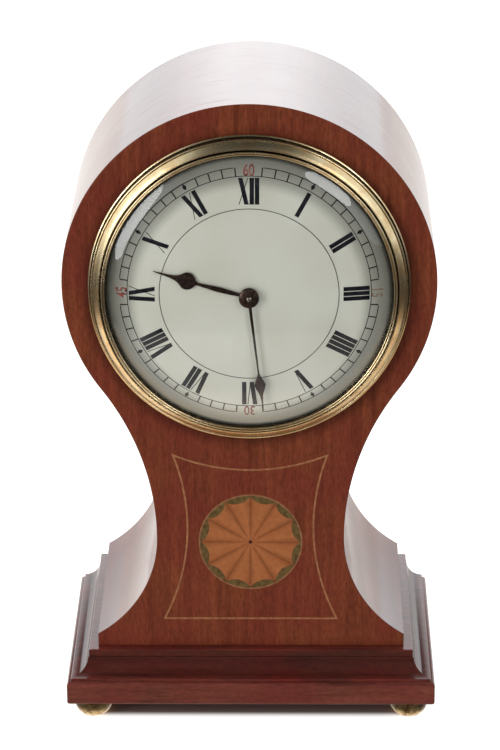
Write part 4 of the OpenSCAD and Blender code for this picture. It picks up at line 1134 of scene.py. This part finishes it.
# %% Collet and pin
collet_back = hand_front(0, minute_clear)
collet_front = 9.7
collet_r = 3.1
collet_dome = 6
collet_hole = 0.8
collet_ease = 0.15
collet_line = [(collet_hole, collet_back), (collet_r - collet_ease, collet_back)]
collet_line += [(collet_r, collet_back + collet_ease)]
collet_line += arc((0, collet_front - collet_dome), collet_dome, 58.9, 82.3, 10)
collet_line += [(collet_hole, collet_back)]
collet = turn("hand_collet_dome", collet_line, steps=72)
dress(collet, browned_steel, "blued_steel", "minute_set", "hand_collet")

pin_r = 0.78
pin_low = collet_front - 0.4
pin_line = [(0, pin_low), (pin_r, pin_low), (pin_r, collet_front)]
pin_line += arc((0, collet_front - 0.62), 1.0, 38, 90, 6)
dress(turn("arbor_pin", pin_line, steps=36), bright_steel, "steel", "minute_set")

# %% [markdown]
# ## Clockwork and back
# The solids of the clockwork already have their true shapes, so they keep them and get a finish: brass for
# plates, wheels and fittings, steel for arbors, screws, springs and pawls, blued steel for the hairspring.

# %% Finishes for the CAD pieces
steel_nodes = ("plate_screws strap_screws hinge_pin centre_arbor cannon_pinion mainspring barrel_arbor "
               "ratchet_wheel click click_spring platform_screws escape_wheel pallet_lever regulator").split()
back_nodes = "back_ring back_door door_knob ring_screws".split()
finishes = {"carcass": inner_wood, "hairspring": blued_steel, "glass_ring": rim_brass}
finishes.update({node: back_brass for node in back_nodes})
finishes.update({node: steel for node in steel_nodes})
dressed = 0
for node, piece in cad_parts.items():
    if piece.hide_render:
        continue
    piece.data.materials.clear()
    piece.data.materials.append(finishes.get(node, plate_brass))
    dressed += 1
print("CAD pieces dressed:", dressed)

# %% [markdown]
# ## Studio
# The clock stands on a white floor that runs on as the background. The camera sees the floor as white, with
# a soft shadow painted under the plinth, and the light that it throws back is plain. Polished wood, brass and
# glass see a floor that is bright near the clock and behind it, a little warmer and stronger in front. Each
# row below fades along one axis, between two places in metres, from one share to another.

# %% Floor
floor_fades = {
    "ahead": ("Y", -0.02, -0.06, 0.0, 1.0),
    "beside": ("Y", -0.02, -0.06, 1.1, 2.1),
    "further": ("Y", -0.16, -0.11, 0.24, 1.0),
    "close_part": ("Y", -0.16, -0.11, 0.0, 1.0),
    "near_right": ("X", -0.02, 0.1, 1.0, 0.7),
    "rear": ("Y", 0.05, 0.2, 0.0, 1.0),
    "to_right": ("X", -0.1, 0.25, 1.05, 0.92),
}
near_reach = {1: 0.272, 2: 0.3, 3: 1.0, 4: 0.03}
painted_shadow_edge = {1: 4 * MM, 2: 8.5 * MM}


def by_ray(add, plain, mirrored, seen):
    """One shader for plain light, one for mirrored and refracted rays, and one for what the camera sees."""
    path = add("LightPath")
    sharp = add("Math", LARGER, {0: path.outputs["Is Glossy Ray"], 1: path.outputs["Is Transmission Ray"]})
    bounced = add("MixShader", {}, {0: sharp, 1: plain, 2: mirrored})
    return add("MixShader", {}, {0: path.outputs["Is Camera Ray"], 1: bounced, 2: seen})


def seen_floor(add, spot):
    """White for the camera, with a soft painted shadow under the slab."""
    side = add("Math", {"operation": "ABSOLUTE"}, {0: spot.outputs["X"]})
    under = add("Math", {"operation": "SUBTRACT", 0: slab_high.x}, {1: side})
    for settings, socket in (({1: slab_low.y}, 0), ({0: slab_high.y}, 1)):
        gap = add("Math", {"operation": "SUBTRACT"} | settings, {socket: spot.outputs["Y"]})
        under = add("Math", SMALLER, {0: under, 1: gap})
    # Painted shadow: the floor turns dark from 4 to 8.5 mm inside the slab's outline.
    shadow = add("MapRange", painted_shadow_edge | SMOOTHSTEP, {0: under})
    glow = add("Emission", {"Color": "#FFFFFF", "Strength": 0.8})
    lit = add("AddShader", {}, {0: add("BsdfDiffuse", {"Color": "#CFCBC8"}), 1: glow})
    return add("MixShader", {}, {0: shadow, 1: lit, 2: add("BsdfDiffuse", {"Color": "#8A7A76"})})


def mirrored_floor(add, where, spot):
    """Bright near the clock and behind it, and warmer in front."""
    fade = {}
    for name, (axis, *ends) in floor_fades.items():
        fade[name] = add("MapRange", dict(enumerate(ends, 1)), {0: spot.outputs[axis]})
    reach = add("VectorMath", {"operation": "LENGTH"}, {0: where})
    near = add("MapRange", near_reach, {0: reach})
    for name in ("near_right", "further", "beside"):
        near = add("Math", TIMES, {0: near, 1: fade[name]})
    rear = add("Math", TIMES, {0: fade["rear"], 1: fade["to_right"]})
    share = add("Math", LARGER, {0: near, 1: rear})
    close_front = add("Math", SMALLER, {0: fade["ahead"], 1: fade["close_part"]})
    warmth = add("Mix", BLEND | {MIX_A: "#FFFAF6", MIX_B: "#EACDA8"}, {0: close_front})
    return add("Emission", {}, {"Color": warmth, "Strength": share})


def white_floor(add, where):
    """A white studio floor: plain paint for the light, bright in the polish and white for the camera."""
    spot = add("SeparateXYZ", {}, {0: where})
    paint = add("BsdfDiffuse", {"Color": "#E4E4E4"})
    return by_ray(add, paint, mirrored_floor(add, where, spot), seen_floor(add, spot))


floor = begin("studio_floor", bpy.ops.mesh.primitive_plane_add, size=12)
floor.data.materials.append(material("white_floor", white_floor))
print("Floor fades:", len(floor_fades))

# %% [markdown]
# The room is seen only in the polish: a white backdrop behind, which dims to the sides, and pale walls left
# and right, the right one a little dimmer. The sky gives a low even fill, and is white for the camera.

# %% World
backdrop_rise = {1: 0.1, 2: 0.75, 3: 0.0, 4: 2.15}
backdrop_fade = {1: 0.06, 2: 0.34, 3: 1.0, 4: 0.56}
wall_rise = {1: 0.4, 2: 0.65, 3: 0.05, 4: 1.5}
right_dim = {1: -0.1, 2: 0.5, 3: 1.0, 4: 0.82}
fill_level = 0.3
world = bpy.data.worlds.new("studio")
bpy.context.scene.world = world
world.use_nodes = True
add = adder(world.node_tree)
direction = add("SeparateXYZ", {}, {0: add("TexCoord").outputs["Generated"]})
aside = add("Math", {"operation": "ABSOLUTE"}, {0: direction.outputs["X"]})
behind = add("MapRange", backdrop_rise | SMOOTHSTEP, {0: direction.outputs["Y"]})
fading = add("MapRange", backdrop_fade | SMOOTHSTEP, {0: aside})
backdrop = add("Math", TIMES, {0: behind, 1: fading})
walls = add("MapRange", wall_rise | SMOOTHSTEP, {0: aside})
dimming = add("MapRange", right_dim, {0: direction.outputs["X"]})
sides = add("Math", TIMES, {0: walls, 1: dimming})
room = add("Math", LARGER, {0: backdrop, 1: sides})
fill = add("Background", {"Color": "#FFFFFF", "Strength": fill_level})
mirror = add("Background", {"Color": "#F5FCFF"}, {"Strength": room})
white = add("Background", {"Color": "#FFFFFF", "Strength": 1.0})
add("OutputWorld", {}, {"Surface": by_ray(add, fill, mirror, white)})
bpy.context.scene.view_settings.view_transform = "Standard"
print("Fill of the sky:", fill_level)

# %% [markdown]
# Two soft boxes stand at the front left and right and show as long gleams on the glass, and a third hangs
# above and isn't mirrored. Azimuth is in degrees from the front, to the right, sizes are in metres and power
# is in watts.

# %% Lamps
aim_at = Vector((0, 0, 0.11))
for name, azimuth, up, away, wide, tall, power in (("left_box", -50, 0.38, 1.2, 0.52, 0.86, 8.0),
                                                   ("right_box", 36, 0.72, 1.2, 0.52, 0.52, 4.5),
                                                   ("top_box", 180, 1.5, 0.3, 1.0, 0.8, 12.0)):
    box = begin(name, bpy.ops.object.light_add, type="AREA")
    box.data.shape = "ELLIPSE"
    box.data.size = wide
    box.data.size_y = tall
    box.data.energy = power
    back, across = polar(away, azimuth)
    box.location = (across, -back, up)
    box.rotation_euler = (aim_at - box.location).to_track_quat("-Z", "Y").to_euler()
    box.visible_camera = False
    box.visible_glossy = name != "top_box"
print("Lamps:", [lamp.name for lamp in bpy.data.lights])

# %% [markdown]
# ## Camera
# The camera stands about a metre in front and half a metre up, a little to the right, with a long lens. Its
# place and turn were worked out from the edges of the case and the circles of the dial.

# %% Camera
eye = Vector((12.85, -983.7, 493.65)) * MM
yaw, pitch, roll = (math.radians(a) for a in (-0.769, -21.632, -0.259))
forward = Vector((math.sin(yaw) * math.cos(pitch), math.cos(yaw) * math.cos(pitch), math.sin(pitch)))
level = Vector((math.cos(yaw), -math.sin(yaw), 0))
right = math.cos(roll) * level + math.sin(roll) * level.cross(forward)
up = right.cross(forward)
camera = begin("Camera", bpy.ops.object.camera_add)
camera.matrix_world = Matrix.Translation(eye) @ Matrix((right, up, -forward)).transposed().to_4x4()
camera.data.sensor_width = 36
camera.data.lens = 156.7
camera.data.shift_y = 0.0025
camera.data.clip_end = 50
bpy.context.scene.camera = camera
print("Camera height:", round(eye.z, 3), "m")
